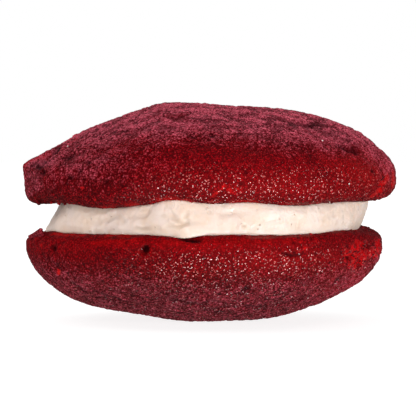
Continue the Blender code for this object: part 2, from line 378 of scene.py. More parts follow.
@dataclass(frozen=True)
class Droop:
    """A tongue of cream that hangs over the rim under it."""

    x: float
    width: float
    out: float
    down: float

    def apply(self, surface: Surface) -> None:
        """Pulls the foot of the cream's front outwards and down."""
        points = surface.points
        foot = smooth_step(23.4, 21.2, points[:, 2]) * smooth_step(-33.0, -35.5, points[:, 1])
        here = bell(points[:, 0] - self.x, self.width) * foot
        points[:, 1] -= self.out * here
        points[:, 2] -= self.down * here


@dataclass(frozen=True)
class SlopedEnd:
    """An end of the cream that was spread less far under the upper cake, so its wall slopes."""

    azimuth: float
    turn: float
    foot: float
    top: float
    back: float

    def apply(self, surface: Surface) -> None:
        """Moves the wall inwards, more towards its top."""
        points = surface.points
        across = surface.turned_from(self.azimuth)
        radius = surface.radius()
        wall = smooth_step(30.0, 35.0, radius)
        share = np.clip((points[:, 2] - self.foot) / (self.top - self.foot), 0.0, 1.0)
        back = self.back * smooth_step(self.turn, 0.0, across) * wall * share
        points[:, :2] *= (1.0 - back / np.maximum(radius, 1.0))[:, None]


@dataclass(frozen=True)
class Ring:
    """A small burst bubble in the cream: a hollow with a raised ring round it."""

    at: tuple[float, float]
    radius: float
    height: float
    side: Side = Side.FRONT

    def apply(self, surface: Surface) -> None:
        """Raises the ring, sinks its middle and paints shade in it."""
        gap = np.linalg.norm(surface.points - surface.seen(*self.at, self.side), axis=1)
        surface.lift += self.height * bell(gap - self.radius, self.radius * 0.35)
        surface.lift -= self.height * 1.3 * bell(gap, self.radius * 0.6)
        surface.paint(Mask.DARK, 0.5 * bell(gap, self.radius * 0.6))


def live_socket(sockets: bpy.types.bpy_prop_collection, name: str) -> NodeSocket:
    """The socket of this name that the node's present settings use."""
    return next(socket for socket in sockets if socket.name == name and socket.enabled)


@dataclass
class Graph:
    """A node tree being built: it adds nodes, sets their inputs and links them."""

    tree: NodeTree

    def add(self, kind: str, inputs: dict | None = None, **settings: object) -> Node:
        """Adds a node.

        Args:
            kind: The node's type.
            inputs: Values or sockets by input name or number.
            **settings: The node's own properties.

        Returns:
            The node.
        """
        node = self.tree.nodes.new(kind)
        for name, value in settings.items():
            setattr(node, name, value)
        for key, value in (inputs or {}).items():
            socket = node.inputs[key] if isinstance(key, int) else live_socket(node.inputs, key)
            if isinstance(value, NodeSocket):
                self.tree.links.new(value, socket)
            else:
                socket.default_value = value
        return node

    def math(self, operation: str, *values: object) -> NodeSocket:
        """The result of a Math node on these values."""
        return self.add("ShaderNodeMath", dict(enumerate(values)), operation=operation).outputs[0]

    def times(self, first: object, second: object) -> NodeSocket:
        """One number times another."""
        return self.math("MULTIPLY", first, second)

    def times_plus(self, first: object, second: object, more: object) -> NodeSocket:
        """One number times another, plus a third."""
        return self.math("MULTIPLY_ADD", first, second, more)

    def centred(self, value: object) -> NodeSocket:
        """A share from 0 to 1 as a number from -1 to 1."""
        return self.times_plus(value, 2.0, -1.0)

    def vector(self, operation: str, *values: object) -> NodeSocket:
        """The result of a Vector Math node on these values."""
        return self.add("ShaderNodeVectorMath", dict(enumerate(values)), operation=operation).outputs[0]

    def scaled(self, vector: object, scale: object) -> NodeSocket:
        """A vector times a number."""
        inputs = {"Vector": vector, "Scale": scale}
        return self.add("ShaderNodeVectorMath", inputs, operation="SCALE").outputs[0]

    def step(self, value: object, low: object, high: object) -> NodeSocket:
        """A smooth rise from 0 to 1 as the value goes from low to high."""
        inputs = {"Value": value, "From Min": low, "From Max": high, "To Min": 0.0, "To Max": 1.0}
        node = self.add("ShaderNodeMapRange", inputs, interpolation_type="SMOOTHSTEP")
        return node.outputs[0]

    def mix(self, share: object, first: object, second: object) -> NodeSocket:
        """A colour between two, by a share."""
        inputs = {0: share, 6: first, 7: second}
        return self.add("ShaderNodeMix", inputs, data_type="RGBA").outputs[2]

    def blend(self, share: object, first: object, second: object) -> NodeSocket:
        """A number between two, by a share."""
        return self.add("ShaderNodeMix", {0: share, 2: first, 3: second}, data_type="FLOAT").outputs[0]

    def noise(self, vector: object, width: object, detail: float = 0.0, twist: float = 0.0) -> object:
        """Noise from 0 to 1, of this width in metres."""
        scale = self.math("DIVIDE", 1.0, width)
        inputs = {"Vector": vector, "Scale": scale, "Detail": detail, "Distortion": twist}
        return self.add("ShaderNodeTexNoise", inputs, noise_dimensions="3D").outputs[0]

    def cells(self, vector: object, width: object) -> Node:
        """A Voronoi pattern whose cells have this width in metres."""
        inputs = {"Vector": vector, "Scale": self.math("DIVIDE", 1.0, width)}
        return self.add("ShaderNodeTexVoronoi", inputs, feature="F1")

    def bump(self, height: object, distance: float) -> NodeSocket:
        """The normal of a surface with this relief, in which 1 is this distance in metres."""
        inputs = {"Strength": 1.0, "Distance": distance, "Height": height}
        return self.add("ShaderNodeBump", inputs).outputs[0]

    def attribute(self, mask: Mask) -> NodeSocket:
        """A mask, read from the surface by a shader."""
        node = self.add("ShaderNodeAttribute", attribute_name=mask.value)
        return node.outputs["Fac"]

    def named(self, mask: Mask) -> NodeSocket:
        """A mask, read from the surface by a geometry tree."""
        node = self.add("GeometryNodeInputNamedAttribute", {"Name": mask.value}, data_type="FLOAT")
        return live_socket(node.outputs, "Attribute")

    def store(self, geometry: object, mask: Mask, value: object) -> NodeSocket:
        """The geometry with a mask written on its points."""
        inputs = {"Geometry": geometry, "Name": mask.value, "Value": value}
        node = self.add("GeometryNodeStoreNamedAttribute", inputs, data_type="FLOAT", domain="POINT")
        return node.outputs["Geometry"]


def add_sockets(tree: NodeTree, inputs: dict[str, str], outputs: dict[str, str]) -> None:
    """Gives a tree its named inputs and outputs.

    Args:
        tree: The tree.
        inputs: The kind of each input, by name.
        outputs: The kind of each output, by name.
    """
    for way, sockets in (("INPUT", inputs), ("OUTPUT", outputs)):
        for name, kind in sockets.items():
            tree.interface.new_socket(name=name, in_out=way, socket_type="NodeSocket" + kind)


def grain_group() -> NodeTree:
    """Builds the grain that crust, crumbs and cream share, at each one's own scale.

    Returns:
        A shader group that gives a bump height, a finely speckled tone with painted light and shade on
        the grains, the rounded grains, masks of pores and creases, and a random number for each grain.
    """
    tree = bpy.data.node_groups.new("food_grain", "ShaderNodeTree")
    inputs = {"Vector": "Vector", "Cell Width": "Float", "Fine Width": "Float", "Pore Spacing": "Float"}
    inputs |= {"Crease Width": "Float", "Crease Depth": "Float"}
    names = ("Height", "Tone And Shade", "Mounds", "Pores", "Creases", "Chance")
    outputs = {name: "Float" for name in names}
    add_sockets(tree, inputs, outputs)
    graph = Graph(tree)
    given = graph.add("NodeGroupInput").outputs
    fine = graph.noise(given["Vector"], given["Fine Width"], detail=1.5)
    sway = graph.noise(given["Vector"], given["Cell Width"], detail=1.0)
    shift = graph.times(graph.math("SUBTRACT", sway, 0.5), given["Cell Width"])
    bent = graph.vector("ADD", given["Vector"], graph.scaled((1.1, -0.9, 1.0), shift))
    cells = graph.cells(bent, given["Cell Width"])
    mounds = graph.step(cells.outputs["Distance"], 0.90, 0.15)
    pores = graph.cells(given["Vector"], given["Pore Spacing"])
    holes = graph.step(pores.outputs["Distance"], 0.17, 0.07)
    folds = graph.noise(given["Vector"], given["Crease Width"], detail=1.6, twist=0.8)
    beside = graph.math("ABSOLUTE", graph.math("SUBTRACT", folds, 0.5))
    spared = graph.noise(given["Vector"], graph.times(given["Crease Width"], 2.0))
    creases = graph.times(graph.step(beside, 0.15, 0.02), graph.step(spared, 0.42, 0.56))
    height = graph.times_plus(fine, 0.25, graph.times(mounds, 0.75))
    height = graph.math("SUBTRACT", height, graph.times(holes, 0.8))
    height = graph.math("SUBTRACT", height, graph.times(creases, given["Crease Depth"]))
    chance = graph.add("ShaderNodeSeparateColor", {0: cells.outputs["Color"]}).outputs[0]
    # Painted light and shade: the tone is light on each grain's top and dark between grains, times a
    # random tone.
    dots = graph.step(cells.outputs["Distance"], 0.76, 0.05)
    tone_and_shade = graph.times(dots, graph.blend(chance, 0.3, 1.0))
    tone_and_shade = graph.times(tone_and_shade, graph.blend(graph.step(fine, 0.35, 0.65), 0.55, 1.45))
    results = dict(zip(names, (height, tone_and_shade, mounds, holes, creases, chance)))
    graph.add("NodeGroupOutput", results)
    return tree


def blotch_group() -> NodeTree:
    """Builds the uneven colour that the pieces share.

    Returns:
        A shader group that gives broad and fine shares from 0 to 1.
    """
    tree = bpy.data.node_groups.new("uneven_colour", "ShaderNodeTree")
    inputs = {"Vector": "Vector", "Broad Width": "Float", "Fine Width": "Float"}
    add_sockets(tree, inputs, {"Broad": "Float", "Fine": "Float"})
    graph = Graph(tree)
    given = graph.add("NodeGroupInput").outputs
    broad = graph.noise(given["Vector"], given["Broad Width"], detail=2.0, twist=0.4)
    fine = graph.noise(given["Vector"], given["Fine Width"], detail=2.0)
    outputs = {"Broad": graph.step(broad, 0.32, 0.68), "Fine": graph.step(fine, 0.3, 0.7)}
    graph.add("NodeGroupOutput", outputs)
    return tree


def speck_group() -> NodeTree:
    """Builds sparse round specks.

    Returns:
        A shader group that gives a mask of the specks, of which only a share of the cells has one.
    """
    tree = bpy.data.node_groups.new("sparse_specks", "ShaderNodeTree")
    inputs = {"Vector": "Vector", "Spacing": "Float", "Radius": "Float", "Share": "Float"}
    add_sockets(tree, inputs, {"Mask": "Float"})
    graph = Graph(tree)
    given = graph.add("NodeGroupInput").outputs
    cells = graph.cells(given["Vector"], given["Spacing"])
    reach = graph.math("DIVIDE", given["Radius"], given["Spacing"])
    dot = graph.step(cells.outputs["Distance"], reach, graph.times(reach, 0.5))
    draw = graph.add("ShaderNodeSeparateColor", {0: cells.outputs["Color"]}).outputs[1]
    chosen = graph.math("LESS_THAN", draw, given["Share"])
    graph.add("NodeGroupOutput", {"Mask": graph.times(dot, chosen)})
    return tree


@dataclass(frozen=True)
class Scale:
    """How wide the patterns of a finish are, in millimetres."""

    cell: float
    fine: float
    pore_spacing: float
    crease: float
    broad_patch: float
    fine_patch: float


@dataclass
class Effects:
    """The shader groups that the finishes share."""

    grain: NodeTree
    blotches: NodeTree
    specks: NodeTree

    @classmethod
    def build(cls) -> "Effects":
        """Builds each group once."""
        return cls(grain_group(), blotch_group(), speck_group())

    def place_grain(self, graph: Graph, place: object, scale: Scale, crease_depth: object) -> object:
        """Places the grain in a material and gives its outputs."""
        inputs = {
            "Vector": place,
            "Cell Width": scale.cell * MM,
            "Fine Width": scale.fine * MM,
            "Pore Spacing": scale.pore_spacing * MM,
            "Crease Width": scale.crease * MM,
            "Crease Depth": crease_depth,
        }
        return graph.add("ShaderNodeGroup", inputs, node_tree=self.grain).outputs

    def place_blotches(self, graph: Graph, place: object, scale: Scale) -> object:
        """Places the uneven colour in a material and gives its outputs."""
        broad, fine = scale.broad_patch * MM, scale.fine_patch * MM
        inputs = {"Vector": place, "Broad Width": broad, "Fine Width": fine}
        return graph.add("ShaderNodeGroup", inputs, node_tree=self.blotches).outputs

    def place_specks(self, graph: Graph, place: object, specks: tuple[float, float, float]) -> object:
        """Places specks of this spacing, radius and share in a material and gives their mask."""
        spacing, radius, share = specks
        inputs = {"Vector": place, "Spacing": spacing * MM, "Radius": radius * MM, "Share": share}
        return graph.add("ShaderNodeGroup", inputs, node_tree=self.specks).outputs["Mask"]


def new_material(name: str) -> tuple[Material, Graph]:
    """A material with only an output, and its graph."""
    material = bpy.data.materials.new(name)
    material.use_nodes = True
    material.node_tree.nodes.clear()
    return material, Graph(material.node_tree)


def finish_shader(graph: Graph, inputs: dict) -> None:
    """Adds the Principled shader with these inputs and links it to the output."""
    shader = graph.add("ShaderNodeBsdfPrincipled", inputs)
    graph.add("ShaderNodeOutputMaterial", {"Surface": shader.outputs[0]})


@dataclass(frozen=True)
class Finish:
    """A material with patterns of its own scale. Each kind of finish says what its shader is given.

    Its sizes are in millimetres. Two numbers for one look are what it changes between, and specks are
    given by their spacing, their radius and the share of the places that have one.
    """

    name: str
    scale: Scale

    def material(self, effects: Effects) -> Material:
        """Builds the material.

        Args:
            effects: The shared shader groups.

        Returns:
            The material.
        """
        material, graph = new_material(self.name)
        place = graph.add("ShaderNodeTexCoord").outputs["Object"]
        finish_shader(graph, self.shader_inputs(graph, effects, place))
        return material

    def shader_inputs(self, graph: Graph, effects: Effects, place: object) -> dict[str, object]:
        """What the shader is given: by name, values or sockets of the graph."""
        raise NotImplementedError


@dataclass(frozen=True)
class CrustFinish(Finish):
    """Soft baked crust: deep red, dusty mauve with painted sheen on its ridges, and fine glinting
    grain.
    """

    name: str = "red_velvet_crust"
    scale: Scale = Scale(0.44, 0.34, 3.4, 1.9, 9.0, 1.1)
    deep: tuple = (0.036, 0.0002, 0.0010, 1.0)
    bright: tuple = (0.280, 0.0012, 0.0042, 1.0)
    # Dust with painted sheen: dim between the grains and bright on their tops.
    dim_dust: tuple = (0.180, 0.018, 0.031, 1.0)
    dust: tuple = (0.520, 0.084, 0.126, 1.0)
    # The colour of painted glints.
    spark: tuple = (0.520, 0.105, 0.088, 1.0)
    raw: tuple = (0.620, 0.0050, 0.0048, 1.0)
    torn: tuple = (0.520, 0.0024, 0.0045, 1.0)
    skin: tuple = (0.150, 0.052, 0.040, 1.0)
    # The colour of painted shade in pits and pores.
    hollow: tuple = (0.018, 0.0008, 0.0016, 1.0)
    crease_depth: tuple = (0.2, 2.0)
    bump_height: float = 0.14
    dots: tuple = (0.56, 0.22, 0.75)
    dot_height: float = 0.2
    roughness: tuple = (0.75, 0.60)
    specular: float = 0.02
    coat: tuple = (0.04, 0.85)
    coat_ior: float = 1.7
    coat_roughness: float = 0.24
    sheen: float = 0.015
    sheen_roughness: float = 0.25
    sheen_tint: tuple = (1.0, 0.72, 0.84, 1.0)

    def shader_inputs(self, graph: Graph, effects: Effects, place: object) -> dict[str, object]:
        """What the shader is given: marks, dust, painted sheen, glints and shade, glossy dots and a
        sheen.
        """
        masks = {mask: graph.attribute(mask) for mask in Mask}
        crease_depth = graph.blend(masks[Mask.DUST], *self.crease_depth)
        grain = effects.place_grain(graph, place, self.scale, crease_depth)
        blotch = effects.place_blotches(graph, place, self.scale)
        dots = effects.place_specks(graph, place, self.dots)
        height = graph.times_plus(dots, self.dot_height, grain["Height"])
        normal = graph.bump(height, self.bump_height * MM)
        return {
            "Base Color": self.colour(graph, grain, blotch, dots, masks),
            "Roughness": graph.blend(grain["Tone And Shade"], *self.roughness),
            "Normal": normal,
            "Specular IOR Level": self.specular,
            "Coat Weight": graph.times(dots, graph.blend(masks[Mask.GLOSS], *self.coat)),
            "Coat IOR": self.coat_ior,
            "Coat Roughness": self.coat_roughness,
            "Coat Normal": normal,
            "Sheen Weight": self.sheen,
            "Sheen Roughness": self.sheen_roughness,
            "Sheen Tint": self.sheen_tint,
        }

    def colour(self, graph: Graph, grain: object, blotch: object, dots: object, masks: dict) -> object:
        """Mixes the crust's colour from two reds, dust and painted sheen, marks, and painted glints and
        shade.

        Args:
            graph: The material's graph.
            grain: The grain's outputs.
            blotch: The uneven colour's outputs.
            dots: The mask of the glossy dots, under which glints and light are painted.
            masks: The masks that the surface carries.

        Returns:
            The colour.
        """
        # Painted light: ridges of the relief are lighter, and broad patches of uneven colour add to the
        # tone.
        ridge = graph.step(masks[Mask.RELIEF], -0.55, 0.75)
        tone_and_shade = graph.times_plus(ridge, 0.09, grain["Tone And Shade"])
        tone_and_shade = graph.times_plus(blotch["Broad"], 0.09, tone_and_shade)
        # Painted highlight: the red is brighter under the glossy dots.
        painted_glint_spots = graph.times(dots, masks[Mask.GLOSS])
        tone_and_shade = graph.times_plus(painted_glint_spots, 0.5, tone_and_shade)
        red = graph.mix(tone_and_shade, self.deep, self.bright)
        # Dust and painted sheen gather on grain tops and ridges, and within it the grain tops are
        # painted lighter.
        ridge_and_grain = graph.times_plus(grain["Mounds"], 0.45, graph.times(ridge, 0.25))
        ridge_and_grain = graph.times_plus(grain["Chance"], 0.20, ridge_and_grain)
        dust = graph.step(graph.math("ADD", ridge_and_grain, masks[Mask.DUST]), 0.56, 1.52)
        dust = graph.times(dust, graph.step(masks[Mask.DUST], 0.0, 0.15))
        dust_and_sheen_grain = graph.times(grain["Mounds"], graph.blend(grain["Chance"], 0.4, 1.0))
        red = graph.mix(dust, red, graph.mix(dust_and_sheen_grain, self.dim_dust, self.dust))
        # Painted shade in the creases, stronger where dust and painted sheen lie.
        folded = graph.times(grain["Creases"], graph.blend(masks[Mask.DUST], 0.10, 0.85))
        red = graph.mix(folded, red, self.deep)
        crumb = graph.times(masks[Mask.TORN], graph.blend(grain["Tone And Shade"], 0.6, 1.0))
        red = graph.mix(crumb, red, self.torn)
        raw = graph.times(masks[Mask.RAW], graph.blend(grain["Tone And Shade"], 0.6, 1.0))
        red = graph.mix(raw, red, self.raw)
        red = graph.mix(masks[Mask.SKIN], red, self.skin)
        # Painted glints: pale spots on some of the glossy dots.
        painted_glints = graph.times(painted_glint_spots, graph.blend(grain["Chance"], -0.1, 0.9))
        painted_glints = graph.times(painted_glints, masks[Mask.GLOSS])
        red = graph.mix(painted_glints, red, self.spark)
        # Painted shade in pits, pores and crevices.
        pits = graph.math("MAXIMUM", masks[Mask.DARK], graph.times(grain["Pores"], 0.6))
        pits = graph.math("MAXIMUM", pits, graph.times(masks[Mask.PORE], 0.6))
        return graph.mix(pits, red, self.hollow)


@dataclass(frozen=True)
class CreamFinish(Finish):
    """Smooth spread cream, slightly moist, with painted beige shade in its creases and small glossy
    dots.
    """

    name: str = "cream_cheese_filling"
    scale: Scale = Scale(1.3, 0.55, 4.2, 5.0, 6.0, 1.6)
    body: tuple = (0.705, 0.582, 0.514, 1.0)
    warm: tuple = (0.680, 0.525, 0.420, 1.0)
    # The colour of painted shade in the cream's creases and low places.
    crease: tuple = (0.480, 0.340, 0.230, 1.0)
    crease_depth: float = 0.3
    beads: tuple = (1.3, 0.26, 0.35)
    bump_height: float = 0.15
    grain_height: float = 0.45
    roughness: tuple = (0.42, 0.56)
    bead_roughness: float = 0.16
    subsurface: float = 0.35
    subsurface_colours: tuple = (1.0, 0.72, 0.52)
    subsurface_depth: float = 1.6
    specular: float = 0.45

    def shader_inputs(self, graph: Graph, effects: Effects, place: object) -> dict[str, object]:
        """What the shader is given: a warm, uneven white that light goes into, with glossy beads."""
        grain = effects.place_grain(graph, place, self.scale, self.crease_depth)
        blotch = effects.place_blotches(graph, place, self.scale)
        beads = effects.place_specks(graph, place, self.beads)
        warmth = graph.times(blotch["Broad"], graph.blend(blotch["Fine"], 0.4, 1.0))
        colour = graph.mix(warmth, self.body, self.warm)
        # Painted shade: darker beige in the cream's low places, creases and pits.
        low = graph.times(graph.step(graph.attribute(Mask.RELIEF), -0.1, -0.9), 0.35)
        creases = graph.math("MAXIMUM", low, graph.attribute(Mask.DARK))
        height = graph.math("ADD", graph.times(grain["Height"], self.grain_height), beads)
        rough = graph.blend(blotch["Fine"], *self.roughness)
        return {
            "Base Color": graph.mix(creases, colour, self.crease),
            "Roughness": graph.blend(beads, rough, self.bead_roughness),
            "Normal": graph.bump(height, self.bump_height * MM),
            "Subsurface Weight": self.subsurface,
            "Subsurface Radius": self.subsurface_colours,
            "Subsurface Scale": self.subsurface_depth * MM,
            "Specular IOR Level": self.specular,
        }


@dataclass(frozen=True)
class CrumbFinish(Finish):
    """Loose crumb of the red cake: rough, bright and uneven."""

    name: str = "red_velvet_crumb"
    scale: Scale = Scale(0.4, 0.2, 1.2, 1.0, 2.5, 0.5)
    dark: tuple = (0.070, 0.0010, 0.0030, 1.0)
    light: tuple = (0.340, 0.0050, 0.0080, 1.0)
    crease_depth: float = 0.3
    bump_height: float = 0.1
    roughness: tuple = (0.5, 0.75)
    specular: float = 0.08

    def shader_inputs(self, graph: Graph, effects: Effects, place: object) -> dict[str, object]:
        """What the shader is given: an uneven red over a rough grain."""
        grain = effects.place_grain(graph, place, self.scale, self.crease_depth)
        blotch = effects.place_blotches(graph, place, self.scale)
        return {
            "Base Color": graph.mix(blotch["Broad"], self.dark, self.light),
            "Roughness": graph.blend(blotch["Fine"], *self.roughness),
            "Normal": graph.bump(grain["Height"], self.bump_height * MM),
            "Specular IOR Level": self.specular,
        }


@dataclass(frozen=True)
class FloorFinish:
    """A pale table that is lit softly from below, so that shadows on it stay faint."""

    name: str = "pale_table"
    shade: float = 0.20
    glow: float = 0.85

    def material(self) -> Material:
        """Builds the material."""
        material, graph = new_material(self.name)
        place = graph.add("ShaderNodeTexCoord").outputs["Object"]
        patches = graph.noise(place, 0.35, detail=1.0)
        light = (self.shade, self.shade, self.shade, 1.0)
        lighter = (self.shade + 0.02, self.shade + 0.02, self.shade + 0.02, 1.0)
        inputs = {
            "Base Color": graph.mix(patches, light, lighter),
            "Roughness": 0.6,
            "Emission Color": (1.0, 1.0, 1.0, 1.0),
            "Emission Strength": self.glow,
        }
        finish_shader(graph, inputs)
        return material


def flatten(piece: Object) -> None:
    """Turns a piece's modifiers into a plain mesh and removes them."""
    view = bpy.context.evaluated_depsgraph_get()
    mesh = bpy.data.meshes.new_from_object(piece.evaluated_get(view), depsgraph=view)
    old = piece.data
    piece.modifiers.clear()
    piece.data = mesh
    if old.users == 0:
        bpy.data.meshes.remove(old)


@dataclass(frozen=True)
class Recipe:
    """A Geometry Nodes tree that works on a piece, with its named inputs."""

    tree: NodeTree

    def apply(self, piece: Object, values: dict[str, object]) -> None:
        """Runs the tree on a piece and keeps the result as its plain mesh.

        Args:
            piece: The piece.
            values: The value of each named input.
        """
        modifier = piece.modifiers.new(self.tree.name, "NODES")
        modifier.node_group = self.tree
        for item in self.tree.interface.items_tree:
            if item.in_out == "INPUT" and item.name in values:
                modifier[item.identifier] = values[item.name]
        flatten(piece)


def recipe_tree(name: str, own_inputs: tuple[str, ...]) -> tuple[Graph, object]:
    """Starts a Geometry Nodes tree with a geometry, numbers, a seed and a material.

    Args:
        name: The tree's name.
        own_inputs: The names of the numbers.

    Returns:
        The tree's graph and its input sockets.
    """
    tree = bpy.data.node_groups.new(name, "GeometryNodeTree")
    numbers = {own: "Float" for own in (*own_inputs, "Seed")}
    inputs = {"Geometry": "Geometry", **numbers, "Material": "Material"}
    add_sockets(tree, inputs, {"Geometry": "Geometry"})
    graph = Graph(tree)
    return graph, graph.add("NodeGroupInput").outputs


def end_recipe(graph: Graph, geometry: object, material: object) -> Recipe:
    """Ends a tree in Realize Instances and Set Material, and gives its recipe."""
    real = graph.add("GeometryNodeRealizeInstances", {"Geometry": geometry}).outputs[0]
    inputs = {"Geometry": real, "Material": material}
    dressed = graph.add("GeometryNodeSetMaterial", inputs).outputs[0]
    graph.add("NodeGroupOutput", {"Geometry": dressed})
    return Recipe(graph.tree)


@dataclass(frozen=True)
class Relief:
    """A relief that moves points along their normals. Its sizes are its fields, in millimetres."""

    def sizes(self) -> dict[str, float]:
        """The tree's own inputs by name, in metres."""
        names = [field.name for field in fields(self)]
        return {name.replace("_", " ").title(): getattr(self, name) * MM for name in names}

    def values(self, seed: float, material: Material) -> dict[str, object]:
        """The tree's inputs for a piece.

        Args:
            seed: Shifts the patterns, so that no two pieces match.
            material: What the piece is dressed in.

        Returns:
            The values by name.
        """
        return {**self.sizes(), "Seed": seed, "Material": material}

    def start(self, name: str) -> tuple[Graph, object, object]:
        """Starts the tree, and gives its graph, its inputs and the place that the seed has shifted."""
        graph, given = recipe_tree(name, tuple(self.sizes()))
        place = graph.add("GeometryNodeInputPosition").outputs[0]
        place = graph.vector("ADD", place, graph.scaled((1.0, 1.0, 1.0), given["Seed"]))
        return graph, given, place

    def end(self, graph: Graph, given: object, rise: object, masks: dict[Mask, object]) -> Recipe:
        """Stores the masks, and moves each point by the rise where nothing covers it.

        Args:
            graph: The tree's graph.
            given: The tree's inputs.
            rise: How far each point moves.
            masks: What is stored on the points, by mask.

        Returns:
            The recipe.
        """
        rise = graph.times(rise, graph.math("SUBTRACT", 1.0, graph.named(Mask.COVER)))
        geometry = given["Geometry"]
        for mask, value in masks.items():
            geometry = graph.store(geometry, mask, value)
        normal = graph.add("GeometryNodeInputNormal").outputs[0]
        inputs = {"Geometry": geometry, "Offset": graph.scaled(normal, rise)}
        moved = graph.add("GeometryNodeSetPosition", inputs).outputs[0]
        return end_recipe(graph, moved, given["Material"])


@dataclass(frozen=True)
class CrustRelief(Relief):
    """The relief that covers a crust: lumps, wrinkles, pebbly grain, and pores."""

    lump_width: float = 3.2
    lump_height: float = 0.13
    wrinkle_width: float = 1.6
    wrinkle_height: float = 0.27
    grain_width: float = 0.95
    grain_height: float = 0.05
    pore_spacing: float = 3.6
    pore_radius: float = 0.42
    pore_depth: float = 0.30
    crumb_height: float = 0.22

    def recipe(self) -> Recipe:
        """Builds the tree.

        Returns:
            A recipe that moves each point along its normal and keeps the relief and the pores as masks.
        """
        graph, given, place = self.start("crust_relief")
        lumps = graph.centred(graph.noise(place, given["Lump Width"], detail=1.0))
        folds = graph.noise(place, given["Wrinkle Width"], detail=1.6, twist=0.9)
        folds = graph.centred(graph.step(folds, 0.34, 0.66))
        cells = graph.cells(place, given["Grain Width"]).outputs["Distance"]
        grain = graph.centred(graph.step(cells, 0.85, 0.0))
        pores = graph.cells(place, given["Pore Spacing"])
        reach = graph.math("DIVIDE", given["Pore Radius"], given["Pore Spacing"])
        holes = graph.step(pores.outputs["Distance"], reach, graph.times(reach, 0.35))
        draw = graph.add("FunctionNodeSeparateColor", {0: pores.outputs["Color"]}).outputs[0]
        holes = graph.times(holes, graph.step(draw, 0.35, 0.9))
        folded = graph.times(folds, graph.blend(graph.named(Mask.DUST), 0.32, 1.0))
        total = graph.times(lumps, given["Lump Height"])
        total = graph.times_plus(folded, given["Wrinkle Height"], total)
        total = graph.times_plus(grain, given["Grain Height"], total)
        deep = graph.times(given["Pore Depth"], -1.0)
        total = graph.times_plus(holes, deep, total)
        # The folds already run from -1 to 1, so torn crumb sinks three times as far as it rises.
        rough = graph.times(graph.centred(folds), graph.named(Mask.TORN))
        total = graph.times_plus(rough, given["Crumb Height"], total)
        relief = graph.times_plus(grain, 0.4, graph.times(folds, 0.6))
        return self.end(graph, given, total, {Mask.RELIEF: relief, Mask.PORE: holes})


@dataclass(frozen=True)
class CreamRelief(Relief):
    """The relief of spread cream: soft lumps, streaks along the wall, and small beads."""

    lump_width: float = 3.6
    lump_height: float = 0.30
    streak_length: float = 5.5
    streak_width: float = 1.5
    streak_height: float = 0.16
    bead_spacing: float = 2.3
    bead_height: float = 0.10

    def recipe(self) -> Recipe:
        """Builds the tree.

        Returns:
            A recipe that moves each point along its normal and keeps the relief as a mask.
        """
        graph, given, place = self.start("cream_relief")
        lumps = graph.centred(graph.noise(place, given["Lump Width"], detail=1.2, twist=0.5))
        squeeze = graph.math("DIVIDE", given["Streak Length"], given["Streak Width"])
        stretch = graph.add("ShaderNodeCombineXYZ", {0: 1.0, 1: 1.0, 2: squeeze}).outputs[0]
        drawn = graph.vector("MULTIPLY", place, stretch)
        streaks = graph.centred(graph.noise(drawn, given["Streak Length"], detail=1.5, twist=0.3))
        dots = graph.cells(place, given["Bead Spacing"]).outputs["Distance"]
        beads = graph.step(dots, 0.22, 0.05)
        total = graph.times(lumps, given["Lump Height"])
        total = graph.times_plus(streaks, given["Streak Height"], total)
        total = graph.times_plus(beads, given["Bead Height"], total)
        relief = graph.math("ADD", lumps, graph.times(streaks, 0.8))
        return self.end(graph, given, total, {Mask.RELIEF: relief})


@dataclass(frozen=True)
class CrumbScatter:
    """Loose crumbs that cling where the crust is torn or frayed."""

    per_square_mm: float = 1.5
    smallest: float = 0.10
    largest: float = 0.30
    lumpiness: float = 0.45

    def recipe(self) -> Recipe:
        """Builds the tree.

        Returns:
            A recipe that leaves only the crumbs, as real meshes.
        """
        graph, given = recipe_tree("crumb_scatter", ("Density", "Smallest", "Largest", "Lumpiness"))
        seed = graph.add("FunctionNodeFloatToInt", {0: given["Seed"]}).outputs[0]
        density = graph.times(given["Density"], graph.named(Mask.CRUMBLY))
        inputs = {"Mesh": given["Geometry"], "Density": density, "Seed": seed}
        spread = graph.add("GeometryNodeDistributePointsOnFaces", inputs)
        ball = graph.add("GeometryNodeMeshIcoSphere", {"Radius": 1.0, "Subdivisions": 2}).outputs[0]
        place = graph.add("GeometryNodeInputPosition").outputs[0]
        bulge = graph.times(graph.centred(graph.noise(place, 1.2)), given["Lumpiness"])
        inputs = {"Geometry": ball, "Offset": graph.scaled(place, bulge)}
        lump = graph.add("GeometryNodeSetPosition", inputs).outputs[0]
        inputs = {"Min": given["Smallest"], "Max": given["Largest"], "Seed": seed}
        size = graph.add("FunctionNodeRandomValue", inputs, data_type="FLOAT")
        inputs = {"Min": (0.0, 0.0, 0.0), "Max": (math.tau, math.tau, math.tau)}
        turn = graph.add("FunctionNodeRandomValue", inputs, data_type="FLOAT_VECTOR")
        turned = graph.add("FunctionNodeEulerToRotation", {0: live_socket(turn.outputs, "Value")})
        inputs = {
            "Points": spread.outputs["Points"],
            "Instance": lump,
            "Rotation": turned.outputs[0],
            "Scale": live_socket(size.outputs, "Value"),
        }
        crumbs = graph.add("GeometryNodeInstanceOnPoints", inputs).outputs[0]
        return end_recipe(graph, crumbs, given["Material"])

    def values(self, seed: int, material: Material) -> dict[str, object]:
        """The tree's inputs for a cake's crumbs."""
        return {
            "Density": self.per_square_mm / MM**2,
            "Smallest": self.smallest * MM,
            "Largest": self.largest * MM,
            "Lumpiness": self.lumpiness,
            "Seed": float(seed),
            "Material": material,
        }


def place_object(name: str, data: object) -> Object:
    """Puts a new object in the scene."""
    piece = bpy.data.objects.new(name, data)
    bpy.context.scene.collection.objects.link(piece)
    return piece


def keep_shape(shape: bmesh.types.BMesh, mesh: Mesh) -> None:
    """Writes a shape into a mesh and frees it."""
    shape.normal_update()
    shape.to_mesh(mesh)
    shape.free()


def register(piece: Object, node: str | None = None) -> None:
    """Makes a finished piece part of the pie.

    Args:
        piece: The piece.
        node: The frame's node that it stands for, if any.
    """
    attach(piece, BODY)
    if node is not None:
        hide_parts(node)
    log.info("%s: %d faces", piece.name, len(piece.data.polygons))


